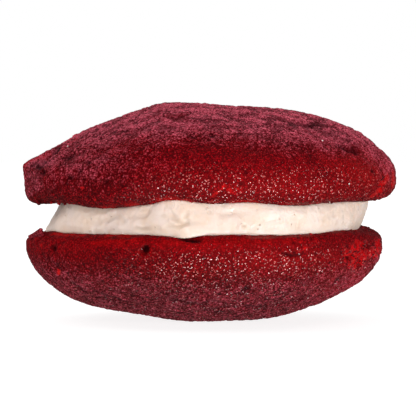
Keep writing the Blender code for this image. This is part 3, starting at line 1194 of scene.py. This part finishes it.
@dataclass(frozen=True)
class Blank:
    """A smooth, even and fine copy of a node, without marks."""

    node: str
    name: str
    cell: float
    inner_radius: float
    inner_sides: tuple[int, ...]

    def build(self) -> Object:
        """Copies the node, smooths it and cuts its surface into even small faces.

        Returns:
            The object. Where another piece hides it, its faces are left large.
        """
        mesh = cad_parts[self.node].data.copy()
        mesh.materials.clear()
        shape = bmesh.new()
        shape.from_mesh(mesh)
        bmesh.ops.remove_doubles(shape, verts=shape.verts, dist=MERGE_DISTANCE)
        keep_shape(shape, mesh)
        piece = place_object(self.name, mesh)
        smooth = piece.modifiers.new("smooth", "SUBSURF")
        smooth.levels = smooth.render_levels = 2
        even = piece.modifiers.new("even", "REMESH")
        even.mode = "VOXEL"
        even.voxel_size = self.cell * MM
        flatten(piece)
        self.open_hidden_faces(piece.data)
        piece.data.shade_smooth()
        return piece

    def open_hidden_faces(self, mesh: Mesh) -> None:
        """Joins the small faces that lie between the cakes into a few large ones."""
        shape = bmesh.new()
        shape.from_mesh(mesh)
        for side in self.inner_sides:
            shape.faces.ensure_lookup_table()
            hidden = []
            for face in shape.faces:
                middle = face.calc_center_median() / MM
                inside = math.hypot(middle.x, middle.y) < self.inner_radius
                if inside and face.normal.z * side > 0.7:
                    hidden.append(face)
            bmesh.ops.delete(shape, geom=hidden, context="FACES")
            rim = [edge for edge in shape.edges if edge.is_boundary]
            filled = bmesh.ops.contextual_create(shape, geom=rim)["faces"]
            bmesh.ops.triangulate(shape, faces=filled)
        keep_shape(shape, mesh)


@dataclass(frozen=True)
class Cake:
    """One cake: its fine crust and the crumbs that cling to it.

    The heights for dust and gloss run from 0 at its widest line to 1 at its crown. Dust, with painted
    sheen, begins at the first height of dust_and_sheen_from and is full at the second. Gloss begins and
    is full at the first two heights of glossy, and is gone and still full at the last two. Within the
    first share of its radius in cover, the cream hides its flat face, and beyond the second it doesn't.

    Patches give how far dust and gloss wander, each with the width of the patches. More dust and
    painted sheen lie towards the sides and on the right end, and the gloss is full only to the right of
    tacky_from.
    """

    blank: Blank
    crown_up: bool
    widest_z: float
    seed: float
    marks: tuple
    cover: tuple[float, float]
    dust: float
    dust_and_sheen_from: tuple[float, float]
    glossy: tuple[float, float, float, float]
    underside_gloss: float
    underside: tuple[float, float] = (0.24, 0.5)
    patches: tuple[tuple[float, float], ...] = ((0.06, 7.0), (0.05, 2.4))
    end_dust: float = 0.30
    dust_and_sheen_end: tuple[float, float] = (31.0, 41.0)
    side_fall: float = 170.0
    left_gloss: float = 0.14
    tacky_from: tuple[float, float] = (-24.0, -4.0)
    rim: tuple[float, float] = (0.86, 0.93)
    fray: float = 0.5
    fray_width: float = 4.5

    def surface_masks(self, surface: Surface) -> None:
        """Lays the masks that follow the cake's own form."""
        low, high = (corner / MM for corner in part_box(self.blank.node))
        middle, half = (low + high) / 2.0, (high - low) / 2.0
        x, y, z = surface.points.T
        share = np.hypot((x - middle.x) / half.x, (y - middle.y) / half.y)
        upwards = 1.0 if self.crown_up else -1.0
        inwards = surface.normals[:, 2] * -upwards
        flat = smooth_step(0.5, 0.9, inwards)
        surface.paint(Mask.COVER, flat * smooth_step(self.cover[1], self.cover[0], share))
        crown = high.z - self.widest_z if self.crown_up else self.widest_z - low.z
        rise = (z - self.widest_z) / crown * upwards
        height = rise + sum(amount * surface.ripple(width, self.seed) for amount, width in self.patches)
        # Dust and painted sheen rise towards the crown, the sides and the right end.
        dust_and_sheen_height = height + self.end_dust * smooth_step(*self.dust_and_sheen_end, x) + np.abs(x) / self.side_fall
        surface.paint(Mask.DUST, self.dust * smooth_step(*self.dust_and_sheen_from, dust_and_sheen_height))
        tacky = self.left_gloss + (1.0 - self.left_gloss) * smooth_step(*self.tacky_from, x)
        glossy = smooth_step(*self.glossy[:2], height) * smooth_step(*self.glossy[2:], height)
        surface.paint(Mask.GLOSS, tacky * glossy)
        surface.paint(Mask.GLOSS, self.underside_gloss * smooth_step(*self.underside, height))
        under = smooth_step(0.55, 0.92, inwards) * smooth_step(*self.rim, share)
        frayed = smooth_step(0.1, 0.5, surface.ripple(self.fray_width, self.seed + 3.0))
        surface.paint(Mask.CRUMBLY, self.fray * under * frayed)

    def build(self, dressing: "Dressing") -> Object:
        """Makes the crust and its crumbs.

        Args:
            dressing: The recipes and materials.

        Returns:
            The crust.
        """
        piece = self.blank.build()
        surface = Surface(piece.data)
        self.surface_masks(surface)
        for mark in self.marks:
            mark.apply(surface)
        surface.settle()
        relief = dressing.crust_relief
        dressing.crust_recipe.apply(piece, relief.values(self.seed, dressing.crust))
        self.keep_within_box(piece.data)
        register(piece, self.blank.node)
        self.scatter_crumbs(piece, dressing)
        return piece

    def keep_within_box(self, mesh: Mesh) -> None:
        """Keeps every vertex inside the whole pie's box, as the relief may pass it by a hair."""
        places = np.empty(len(mesh.vertices) * 3, np.float32)
        mesh.vertices.foreach_get("co", places)
        lowest, highest = (np.array(corner) for corner in cad_bounds)
        places = np.clip(places.reshape(-1, 3), lowest, highest).astype(np.float32)
        mesh.vertices.foreach_set("co", places.ravel())
        mesh.update()

    def scatter_crumbs(self, crust: Object, dressing: "Dressing") -> None:
        """Scatters crumbs where the crust is torn or frayed."""
        crumbs = place_object(f"{self.blank.name}_crumbs", crust.data.copy())
        crumbs.data.materials.clear()
        values = dressing.crumbs.values(round(self.seed * 10), dressing.crumb)
        dressing.crumb_recipe.apply(crumbs, values)
        self.keep_within_box(crumbs.data)
        register(crumbs)


@dataclass(frozen=True)
class Cream:
    """The cream filling, spread out to both cakes."""

    blank: Blank
    seed: float
    marks: tuple
    sectors: int = 720
    wall_depth: float = 3.0
    wall_skin: float = 1.6
    inset: float = 0.7
    neighbours: int = 5
    bite: float = 0.05

    def build(self, above: Object, below: Object, dressing: "Dressing") -> None:
        """Makes the cream.

        Args:
            above: The upper cake's crust, which the cream reaches.
            below: The lower cake's crust.
            dressing: The recipes and materials.
        """
        piece = self.blank.build()
        surface = Surface(piece.data)
        self.close_gaps(surface, Surface(above.data).tree, Surface(below.data).tree)
        surface.paint(Mask.COVER, smooth_step(35.0, 33.0, surface.radius()))
        surface.paint(Mask.COVER, smooth_step(0.6, 0.95, np.abs(surface.normals[:, 2])))
        for mark in self.marks:
            mark.apply(surface)
        surface.settle()
        values = dressing.cream_relief.values(self.seed, dressing.cream)
        dressing.cream_recipe.apply(piece, values)
        register(piece, self.blank.node)

    def close_gaps(self, surface: Surface, above: BVHTree, below: BVHTree) -> None:
        """Stretches the cream's wall up and down until it meets both cakes.

        Args:
            surface: The cream.
            above: The upper cake.
            below: The lower cake.
        """
        points = surface.points
        radius = surface.radius()
        turn = np.arctan2(points[:, 1], points[:, 0]) % math.tau
        sector = np.minimum((turn / math.tau * self.sectors).astype(int), self.sectors - 1)
        reach = np.zeros(self.sectors)
        np.maximum.at(reach, sector, radius)
        wall = radius > reach[sector] - self.wall_skin
        low, high = np.full(self.sectors, np.inf), np.full(self.sectors, -np.inf)
        np.minimum.at(low, sector[wall], points[wall, 2])
        np.maximum.at(high, sector[wall], points[wall, 2])
        floor, roof = low.copy(), high.copy()
        for index in range(self.sectors):
            angle = (index + 0.5) / self.sectors * math.tau
            out = reach[index] - self.inset
            height = (low[index] + high[index]) / 2.0
            middle = Vector((math.cos(angle) * out, math.sin(angle) * out, height))
            hit_up = above.ray_cast(middle, Vector((0.0, 0.0, 1.0)))[0]
            hit_down = below.ray_cast(middle, Vector((0.0, 0.0, -1.0)))[0]
            roof[index] = high[index] if hit_up is None else hit_up.z + self.bite
            floor[index] = low[index] if hit_down is None else hit_down.z - self.bite
        levels = (low, high, floor, roof)
        low, high, floor, roof = (ring_smooth(level, self.neighbours) for level in levels)
        share = (points[:, 2] - low[sector]) / (high - low)[sector]
        wanted = floor[sector] + share * (roof - floor)[sector]
        near_wall = smooth_step(self.wall_depth, 1.2, reach[sector] - radius)
        points[:, 2] += (wanted - points[:, 2]) * near_wall


def ring_smooth(values: np.ndarray, width: int) -> np.ndarray:
    """Averages the values round a ring over a few neighbours on either side."""
    total = sum(np.roll(values, shift) for shift in range(-width, width + 1))
    return total / (2 * width + 1)


@dataclass(frozen=True)
class SkinFlake:
    """A flake of crust that curls up off the lower cake's rim."""

    start: tuple[float, float, float] = (-40.0, -8.5, 18.7)
    end: tuple[float, float, float] = (-36.2, -16.6, 19.4)
    rise: tuple[float, float] = (0.4, 1.9)
    lean: float = 0.35
    thickness: float = 0.9
    columns: int = 9
    rows: int = 7

    def build(self, material: Material) -> None:
        """Makes the flake as a thin curved wedge."""
        shape = bmesh.new()
        along = Vector(self.end) - Vector(self.start)
        outward = Vector((along.y, -along.x, 0.0)).normalized()
        if outward.dot(Vector(self.start)) < 0.0:
            outward = -outward
        grid = []
        for column in range(self.columns):
            share = column / (self.columns - 1)
            height = self.rise[0] + (self.rise[1] - self.rise[0]) * share**1.3
            line = []
            for row in range(self.rows):
                up = row / (self.rows - 1)
                curl = outward * self.lean * math.sin(up * 2.2) * height
                ragged = 0.12 * noise.noise(Vector((share * 5.0, up * 4.0, 0.3)))
                place = Vector(self.start) + along * share + curl
                place.z += height * up + ragged * up
                line.append(shape.verts.new(place * MM))
            grid.append(line)
        for left, right in zip(grid, grid[1:]):
            for row in range(self.rows - 1):
                shape.faces.new((left[row], right[row], right[row + 1], left[row + 1]))
        mesh = bpy.data.meshes.new("rim_flake")
        keep_shape(shape, mesh)
        piece = place_object("rim_flake", mesh)
        solid = piece.modifiers.new("thickness", "SOLIDIFY")
        solid.thickness = self.thickness * MM
        solid.offset = 0.0
        soft = piece.modifiers.new("soft", "SUBSURF")
        soft.levels = soft.render_levels = 2
        flatten(piece)
        piece.data.shade_smooth()
        for mask, amount in ((Mask.DUST, 0.35), (Mask.GLOSS, 0.4)):
            layer = piece.data.attributes.new(mask.value, "FLOAT", "POINT")
            layer.data.foreach_set("value", np.full(len(piece.data.vertices), amount, np.float32))
        piece.data.materials.append(material)
        register(piece)


@dataclass(frozen=True)
class Bit:
    """One crumb or speck at a place that shows at (x, z), sunk into what carries it."""

    at: tuple[float, float]
    radius: float
    drop: float = 0.0
    side: Side = Side.FRONT


@dataclass(frozen=True)
class Bits:
    """A few separate bits of one kind, joined into one piece."""

    name: str
    slot: Slot
    bits: tuple[Bit, ...]
    lumpiness: float = 0.35

    def build(self, carrier: Object, material: Material) -> None:
        """Makes each bit as a lumpy ball on its carrier."""
        surface = Surface(carrier.data)
        shape = bmesh.new()
        for number, bit in enumerate(self.bits):
            middle = Vector(surface.seen(*bit.at, bit.side))
            middle.z -= bit.drop
            made = bmesh.ops.create_icosphere(shape, subdivisions=3, radius=1.0)["verts"]
            for vert in made:
                push = 1.0 + self.lumpiness * noise.noise(vert.co * 1.3 + Vector((number, 0.0, 0.0)))
                vert.co = (middle + vert.co * bit.radius * push) * MM
        mesh = bpy.data.meshes.new(self.name)
        keep_shape(shape, mesh)
        mesh.shade_smooth()
        mesh.materials.append(material)
        register(place_object(self.name, mesh))


@dataclass
class Dressing:
    """The recipes and materials that the pieces share."""

    effects: Effects

    def __post_init__(self) -> None:
        """Builds each recipe and material once."""
        self.crust_relief = CrustRelief()
        self.cream_relief = CreamRelief()
        self.crumbs = CrumbScatter()
        self.crust_recipe = self.crust_relief.recipe()
        self.cream_recipe = self.cream_relief.recipe()
        self.crumb_recipe = self.crumbs.recipe()
        self.crust = CrustFinish().material(self.effects)
        self.cream = CreamFinish().material(self.effects)
        self.crumb = CrumbFinish().material(self.effects)


@dataclass(frozen=True)
class StudioLight:
    """A far, soft light. Its azimuth is counted from the camera's side, positive to the right.

    A light that only glints, and lights nothing, stands for a lamp's mirror image in the table's sheen.
    """

    name: str
    azimuth: float
    elevation: float
    strength: float
    spread: float
    lights: bool = True
    glints: bool = True

    def build(self) -> None:
        """Adds the light."""
        lamp = bpy.data.lights.new(self.name, "SUN")
        lamp.energy = self.strength
        lamp.angle = math.radians(self.spread)
        turn, lift = math.radians(self.azimuth), math.radians(self.elevation)
        level = math.cos(lift)
        towards = Vector((math.sin(turn) * level, -math.cos(turn) * level, math.sin(lift)))
        holder = place_object(self.name, lamp)
        holder.rotation_euler = towards.to_track_quat("Z", "Y").to_euler()
        holder.visible_diffuse = self.lights
        holder.visible_glossy = self.glints


@dataclass(frozen=True)
class Studio:
    """The pale table, the white surroundings, the lights and the camera."""

    table_radius: float = 5000.0
    distance: float = 550.0
    elevation: float = 1.5
    aim_height: float = 24.9
    lens: float = 209.4
    shift: tuple[float, float] = (-0.0012, 0.0029)
    front_glow: float = 0.03
    back_glow: float = 1.85
    mirrored: float = 0.06
    lights: tuple[StudioLight, ...] = (
        StudioLight("key", 46.0, 7.0, 1.95, 10.0),
        StudioLight("fill", -24.0, 12.0, 1.90, 50.0, glints=False),
        StudioLight("table_glint", 34.0, -36.0, 6.0, 14.0, lights=False),
        StudioLight("underside_glint", -25.0, -80.0, 4.5, 28.0, lights=False),
        StudioLight("left", -105.0, 46.0, 0.8, 40.0, glints=False),
    )

    def build(self) -> None:
        """Builds the whole studio."""
        self.build_table()
        self.build_surroundings()
        for light in self.lights:
            light.build()
        self.build_camera()

    def build_table(self) -> None:
        """Lays the table under the pie."""
        shape = bmesh.new()
        radius = self.table_radius * MM
        bmesh.ops.create_circle(shape, cap_ends=True, segments=96, radius=radius)
        mesh = bpy.data.meshes.new("table")
        keep_shape(shape, mesh)
        mesh.materials.append(FloorFinish().material())
        table = place_object("table", mesh)
        table.visible_glossy = False
        table.visible_shadow = False

    def build_surroundings(self) -> None:
        """Makes the surroundings: white to look at, and brighter behind and above than in front."""
        world = bpy.data.worlds.new("white_studio")
        world.use_nodes = True
        world.node_tree.nodes.clear()
        graph = Graph(world.node_tree)
        direction = graph.add("ShaderNodeTexCoord").outputs["Generated"]
        parts = graph.add("ShaderNodeSeparateXYZ", {0: direction}).outputs
        lean = graph.times_plus(parts[1], 0.65, graph.times(parts[2], 0.9))
        share = graph.step(lean, 0.15, 0.95)
        glow = graph.blend(share, self.front_glow, self.back_glow)
        rays = graph.add("ShaderNodeLightPath").outputs
        glow = graph.times(glow, graph.blend(rays["Is Glossy Ray"], 1.0, self.mirrored))
        strength = graph.blend(rays["Is Camera Ray"], glow, 1.0)
        inputs = {"Color": (1.0, 1.0, 1.0, 1.0), "Strength": strength}
        light = graph.add("ShaderNodeBackground", inputs)
        graph.add("ShaderNodeOutputWorld", {"Surface": light.outputs[0]})
        bpy.context.scene.world = world

    def build_camera(self) -> None:
        """Places the camera, nearly level with the pie."""
        lift = math.radians(self.elevation)
        aim = Vector((0.0, 0.0, self.aim_height)) * MM
        eye = aim + Vector((0.0, -math.cos(lift), math.sin(lift))) * self.distance * MM
        camera = bpy.data.cameras.new("camera")
        camera.lens = self.lens
        camera.shift_x, camera.shift_y = self.shift
        camera.clip_start = 0.01
        camera.clip_end = 20.0
        holder = place_object("camera", camera)
        holder.location = eye
        holder.rotation_euler = (aim - eye).to_track_quat("-Z", "Y").to_euler()
        bpy.context.scene.camera = holder
        bpy.context.scene.view_settings.view_transform = "Standard"


UPPER_MARKS = (
    SmoothFacet(193.0, 20.0, 34.2, 31.2, 0.35),
    Flush((14.0, 30.5), (20.0, 4.0), 0.20),
    Flush((34.0, 33.5), (9.0, 5.0), 0.22),
    Flush((-29.0, 36.0), (16.0, 5.5), 0.46, mask=Mask.DUST),
    # Painted highlights: two small pale patches on the nose.
    Flush((-39.5, 34.8), (1.0, 0.7), 0.90, mask=Mask.DUST),
    Flush((-34.8, 38.2), (1.0, 0.7), 0.90, mask=Mask.DUST),
    Flush((-38.0, 36.5), (6.0, 2.8), 0.95, mask=Mask.DUST),
    Flush((-38.0, 36.5), (6.0, 2.8), 0.95, Side.BACK, Mask.DUST),
    # Painted shade in the nose's hollow and in the gully above it.
    Stain(((-37.9, 35.0), (-37.0, 35.3)), 0.75, Mask.DARK, 0.90),
    Stain(((-36.4, 35.6), (-35.2, 36.7), (-33.9, 38.0), (-32.8, 39.4)), 0.50, Mask.DARK, 0.80),
    Flush((4.0, 30.5), (24.0, 3.5), 0.14, Side.BACK),
    TornPatch((-36.9, 37.0), 5.0, 2.0, 0.25, 0.18, 0.34, 0.12),
    TornPatch((-30.0, 40.4), 3.6, 1.0, 0.05, 0.05, 0.12, 0.15),
    Groove(((-38.2, 34.7), (-37.2, 35.1), (-36.2, 35.5)), 1.0, 1.1, 0.2, 1.0),
    Groove(((-36.2, 35.7), (-35.2, 36.8), (-33.9, 38.1), (-32.8, 39.5)), 0.9, 0.9, 0.2, 1.0),
    Groove(((-39.6, 35.0), (-38.6, 35.5)), 0.8, 0.4, 0.0, 0.5),
    Groove(((-36.7, 33.2), (-35.9, 33.7)), 0.5, 0.6, 0.05, 1.0),
    pit(-38.6, 36.3, 0.55, -0.4, 0.0, 0.0, 0.2),
    pit(-36.3, 37.6, 0.50, -0.4, 0.0, 0.0, 0.2),
    pit(-30.1, 41.4, 0.50, -0.35, 0.0, 0.0, 0.4),
    pit(-41.0, 35.4, 0.6, -0.25, 0.0, 0.0, 0.35),
    Groove(((-32.3, 35.1), (-31.0, 35.5)), 0.46, 0.40, 0.06, 0.95),
    Groove(((-31.8, 36.8), (-30.4, 36.8), (-29.2, 37.1)), 0.46, 0.40, 0.06, 0.9),
    pit(-25.7, 35.8, 0.40, 0.35, 0.04, 0.9),
    Groove(((-30.4, 32.3), (-29.0, 32.5)), 0.38, 0.30, 0.04, 0.7),
    pit(-23.6, 37.1, 0.36, 0.3, 0.04, 0.8),
    pit(-27.6, 33.9, 0.36, 0.3, 0.04, 0.8),
    pit(-24.0, 34.4, 0.30, 0.25, 0.03, 0.7),
    pit(-26.8, 32.2, 0.30, 0.25, 0.03, 0.7),
    pit(-21.9, 31.6, 0.32, 0.3, 0.03, 0.8),
    pit(-23.4, 41.1, 0.33, 0.3, 0.03, 0.7),
    Groove(((-21.3, 42.0), (-20.0, 42.3)), 0.33, 0.3, 0.06, 0.8),
    Groove(((-18.5, 42.5), (-17.2, 42.5)), 0.42, 0.5, 0.10, 1.0),
    Groove(((-18.4, 41.9), (-17.0, 41.8)), 0.30, 0.3, 0.08, 0.8),
    Groove(((-9.8, 45.9), (-7.4, 45.4), (-4.9, 45.9)), 0.45, 0.50, 0.08, 0.7, 0.15),
    Groove(((-9.0, 45.3), (-6.0, 45.1)), 0.40, 0.35, 0.05, 0.6, 0.15),
    Groove(((-2.0, 45.2), (1.2, 44.9), (4.4, 44.6)), 0.34, 0.35, 0.06, 0.7),
    pit(0.75, 41.4, 0.40, 0.4, 0.05, 0.9),
    pit(-3.1, 41.2, 0.36, 0.35, 0.04, 0.8),
    pit(-12.8, 42.9, 0.36, 0.35, 0.04, 0.8),
    pit(8.6, 38.9, 0.5, 0.25, 0.03, 0.5),
    Groove(((18.0, 44.3), (20.7, 43.9), (24.6, 44.1)), 0.70, 0.65, 0.08, 0.85),
    pit(22.1, 43.9, 0.62, 0.6, 0.0, 1.0),
    pit(22.8, 45.6, 0.36, 0.25, 0.02, 0.7),
    Groove(((28.2, 39.4), (29.8, 38.6), (31.2, 38.0), (32.4, 38.2)), 0.50, 0.75, 0.20, 0.85),
    Groove(((31.3, 38.3), (32.3, 38.5)), 0.65, 0.45, 0.0, 0.7),
    Groove(((30.2, 40.8), (31.6, 40.4)), 0.50, 0.35, 0.05, 0.6),
    pit(36.1, 33.8, 0.45, 0.5, 0.05, 0.9),
    pit(38.1, 34.0, 0.50, 0.4, 0.04, 0.7),
    TornPatch((38.3, 30.4), 2.6, 2.6, 0.10, 0.08, 0.12, 0.5),
    Stain(((36.1, 28.3), (37.4, 29.4), (38.4, 30.8), (39.6, 32.3)), 0.75, Mask.RAW, 0.6),
    Stain(((41.2, 30.6), (41.4, 33.2)), 0.75, Mask.RAW, 0.55),
    Stain(((0.8, 28.6), (1.6, 29.3), (2.6, 30.0), (3.3, 30.9)), 0.30, Mask.RAW, 0.75),
    Stain(((3.5, 31.0), (4.1, 30.2), (4.3, 29.6)), 0.22, Mask.RAW, 0.7),
    Stain(((4.6, 30.4), (5.1, 29.7), (5.7, 29.2)), 0.22, Mask.RAW, 0.7),
    Stain(((5.6, 30.6), (6.3, 30.3), (6.8, 29.8)), 0.22, Mask.RAW, 0.6),
    Stain(((-27.1, 30.3),), 0.34, Mask.RAW, 0.9),
    Stain(((-24.2, 27.8),), 0.28, Mask.RAW, 0.6),
    Stain(((-33.4, 39.9), (-30.4, 41.2)), 0.55, Mask.RAW, 0.2),
    # A bright red line of bare crumb along the rim over the cream, with painted glow of light through
    # the crumb.
    RimLine(-0.95, 0.10, 0.0, Mask.RAW, 0.50, ((232.0, 300.0), (20.0, 150.0))),
    RimLine(-0.88, 0.07, 0.05, Mask.SKIN, 0.5, ((294.0, 312.0), (60.0, 90.0))),
    pit(9.0, 44.1, 0.50, 0.45, 0.05, 0.8, side=Side.BACK),
    Groove(((-16.0, 42.9), (-13.4, 43.4)), 0.50, 0.50, 0.10, 0.8, side=Side.BACK),
    Groove(((27.0, 40.0), (28.6, 38.9)), 0.55, 0.60, 0.12, 0.8, side=Side.BACK),
    pit(-29.0, 34.0, 0.45, 0.40, 0.05, 0.8, side=Side.BACK),
    pit(3.0, 36.0, 0.40, 0.35, 0.04, 0.7, side=Side.BACK),
    Groove(((-8.0, 38.6), (-5.2, 39.0)), 0.36, 0.35, 0.06, 0.6, 0.3, Side.BACK),
    Stain(((15.5, 29.0), (17.0, 30.6)), 0.45, Mask.RAW, 0.6, Side.BACK),
)

LOWER_MARKS = (
    Flush((2.0, 18.8), (22.0, 2.2), 0.32),
    Flush((16.0, 15.5), (18.0, 3.6), 0.20),
    Flush((31.0, 9.5), (8.0, 4.0), 0.18),
    Flush((31.0, 8.0), (9.0, 5.0), 0.62, mask=Mask.DUST),
    Flush((-30.0, 18.0), (6.0, 2.6), 0.12),
    Flush((-6.0, 17.5), (22.0, 3.0), 0.14, Side.BACK),
    TornPatch((32.9, 15.7), 7.4, 3.3, 0.25, 0.16, 0.36, 1.0),
    TornPatch((37.8, 16.4), 4.4, 2.4, 0.10, 0.06, 0.20, 0.9),
    pit(35.1, 17.0, 0.75, 0.70, 0.0, 1.0),
    pit(31.1, 14.6, 0.50, 0.45, 0.0, 0.9),
    pit(32.2, 17.4, 0.45, 0.40, 0.0, 0.8),
    pit(36.6, 14.6, 0.45, 0.40, 0.0, 0.7),
    Groove(((-14.0, 17.0), (-12.9, 17.7)), 0.72, 1.1, 0.08, 1.0, 0.25),
    pit(-33.7, 16.9, 0.50, 0.7, 0.05, 1.0),
    Stain(((-32.8, 11.4), (-32.8, 12.0)), 0.42, Mask.RAW, 1.0),
    pit(-33.2, 13.2, 0.45, 0.35, 0.0, 0.7),
    Stain(((-36.8, 17.4),), 0.35, Mask.RAW, 0.6),
    Stain(((-14.6, 16.9), (-12.2, 16.6)), 0.5, Mask.RAW, 0.3),
    Groove(((15.6, 16.6), (17.8, 15.9), (20.4, 16.3)), 0.30, 0.38, 0.07, 0.9),
    Stain(((19.7, 18.8),), 0.36, Mask.RAW, 0.8),
    Stain(((20.6, 17.4),), 0.40, Mask.RAW, 0.9),
    Groove(((-5.6, 19.7), (-3.7, 19.6), (-1.9, 19.5)), 0.50, 0.75, 0.0, 1.0),
    Groove(((26.8, 8.4), (28.0, 9.6), (28.9, 10.7)), 0.55, 0.55, 0.14, 0.7),
    Groove(((7.0, 8.1), (8.6, 8.8)), 0.50, 0.5, 0.10, 0.8),
    Groove(((1.2, 2.9), (3.0, 3.4)), 0.50, 0.4, 0.08, 0.8),
    Groove(((-8.3, 6.0), (-4.4, 5.2), (-0.5, 5.1)), 0.50, 0.40, 0.12, 0.5),
    Groove(((-0.6, 3.6), (3.6, 4.4), (7.4, 4.4), (12.0, 4.1)), 0.50, 0.40, 0.12, 0.5),
    Groove(((-1.6, 5.4), (0.8, 6.1), (3.4, 5.2)), 0.45, 0.35, 0.12, 0.4),
    Groove(((14.0, 5.0), (18.4, 5.3), (22.0, 6.3)), 0.50, 0.40, 0.12, 0.5),
    Groove(((22.4, 5.6), (26.5, 7.0), (29.4, 8.4)), 0.50, 0.42, 0.14, 0.5),
    Groove(((-25.6, 8.0), (-22.0, 6.6), (-18.6, 5.6)), 0.45, 0.32, 0.10, 0.5),
    Groove(((-30.0, 9.6), (-27.0, 7.4)), 0.45, 0.32, 0.10, 0.5),
    RimLine(0.88, 0.05, 0.10, Mask.SKIN, 0.45, ((270.0, 322.0), (30.0, 75.0), (120.0, 160.0))),
    # Bright red bands of bare crumb round the rim, with painted glow of light through the crumb.
    RimLine(0.55, 0.40, 0.0, Mask.RAW, 0.36, ((228.0, 300.0), (40.0, 140.0))),
    RimLine(0.97, 0.05, 0.0, Mask.RAW, 0.6, ((205.0, 246.0), (308.0, 324.0), (80.0, 118.0))),
    pit(20.0, 13.0, 0.60, 0.6, 0.08, 0.9, side=Side.BACK),
    Groove(((-24.0, 10.0), (-22.0, 9.4)), 0.55, 0.5, 0.10, 0.8, side=Side.BACK),
    pit(2.0, 15.0, 0.45, 0.4, 0.05, 0.8, side=Side.BACK),
    Stain(((-10.0, 16.0), (-8.6, 15.2)), 0.50, Mask.RAW, 0.7, Side.BACK),
    Groove(((-6.0, 6.5), (2.0, 5.6), (9.0, 6.2)), 0.50, 0.40, 0.12, 0.5, side=Side.BACK),
)

CREAM_MARKS = (
    Groove(((-15.7, 21.7), (-14.0, 21.5), (-12.4, 21.6)), 0.42, 0.30, 0.08, 0.55),
    Groove(((-7.9, 24.8), (-6.4, 23.4), (-5.0, 22.6)), 0.45, 0.32, 0.12, 0.45),
    Groove(((-8.6, 22.4), (-6.4, 22.2), (-4.0, 23.4)), 0.42, 0.28, 0.10, 0.40),
    Groove(((-4.4, 25.4), (-5.0, 24.0), (-4.2, 22.8)), 0.45, 0.25, 0.10, 0.30),
    Groove(((-17.0, 24.0), (-14.4, 24.4), (-12.6, 25.2)), 0.50, 0.22, 0.08, 0.25),
    Groove(((-26.0, 22.6), (-22.0, 23.4), (-19.4, 24.6)), 0.60, 0.25, 0.10, 0.15),
    Groove(((2.2, 24.8), (5.4, 25.2), (8.0, 24.9)), 0.50, 0.22, 0.08, 0.20),
    Groove(((12.0, 23.2), (15.6, 23.8), (18.4, 23.6)), 0.55, 0.16, 0.06, 0.12),
    Groove(((24.0, 23.2), (27.0, 24.4), (28.4, 25.4)), 0.50, 0.20, 0.08, 0.18),
    Groove(((-8.0, 23.0), (-2.0, 24.0), (5.0, 23.2)), 0.60, 0.30, 0.10, 0.25, side=Side.BACK),
    Groove(((14.0, 22.6), (17.0, 24.0)), 0.50, 0.30, 0.10, 0.35, side=Side.BACK),
    Groove(((-22.0, 22.4), (-19.0, 23.6)), 0.50, 0.30, 0.10, 0.30, side=Side.BACK),
    # Painted shadow at the foot of the cream's left end.
    Stain(((-32.0, 21.2), (-30.0, 20.9), (-28.0, 20.9)), 1.0, Mask.DARK, 0.30),
    Ring((7.4, 22.3), 0.75, 0.16),
    Ring((-17.6, 23.0), 0.5, 0.10, Side.BACK),
    Droop(-4.0, 2.6, 0.5, -0.4),
    SlopedEnd(188.0, 34.0, 20.6, 26.8, 3.0),
    SlopedEnd(350.0, 26.0, 27.0, 21.0, 0.9),
)

UPPER = Cake(
    blank=Blank("upper_cake", "upper_crust", 0.386, 31.0, (-1,)),
    crown_up=True,
    widest_z=32.4,
    seed=3.1,
    marks=UPPER_MARKS,
    cover=(0.80, 0.90),
    dust=0.85,
    dust_and_sheen_from=(0.28, 0.85),
    glossy=(-0.50, -0.30, 0.32, -0.04),
    underside_gloss=0.0,
)

LOWER = Cake(
    blank=Blank("lower_cake", "lower_crust", 0.372, 31.0, (1,)),
    crown_up=False,
    widest_z=17.0,
    seed=8.6,
    marks=LOWER_MARKS,
    cover=(0.80, 0.90),
    dust=0.42,
    dust_and_sheen_from=(0.18, 0.66),
    glossy=(-0.12, 0.06, 0.60, 0.20),
    underside_gloss=0.7,
)

FILLING = Cream(
    blank=Blank("cream_filling", "cream_band", 0.29, 31.5, (-1, 1)),
    seed=5.2,
    marks=CREAM_MARKS,
)

HANGING_CRUMBS = Bits(
    name="hanging_crumbs",
    slot=Slot.CRUST,
    bits=(
        Bit((-37.6, 27.2), 0.50, 0.55),
        Bit((-34.6, 27.0), 0.32, 0.25),
        Bit((-32.9, 26.9), 0.38, 0.25),
        Bit((-31.4, 26.8), 0.30, 0.20),
        Bit((21.7, 27.3), 0.30, 0.20),
    ),
)

PALE_SPECKS = Bits(
    name="pale_specks",
    slot=Slot.CREAM,
    bits=(
        Bit((24.6, 40.4), 0.17),
        Bit((30.3, 31.1), 0.20),
        Bit((-31.1, 39.2), 0.17),
        Bit((26.1, 27.2), 0.16),
        Bit((-12.0, 34.0), 0.14, 0.0, Side.BACK),
    ),
)


def main() -> None:
    """Builds the pie's pieces in order, then the studio."""
    logging.basicConfig(level=logging.INFO, format="%(name)s: %(message)s")
    dressing = Dressing(Effects.build())
    upper = UPPER.build(dressing)
    lower = LOWER.build(dressing)
    FILLING.build(upper, lower, dressing)
    SkinFlake().build(dressing.crust)
    HANGING_CRUMBS.build(upper, dressing.crumb)
    PALE_SPECKS.build(upper, dressing.cream)
    Studio().build()


if __name__ == "__main__":
    main()
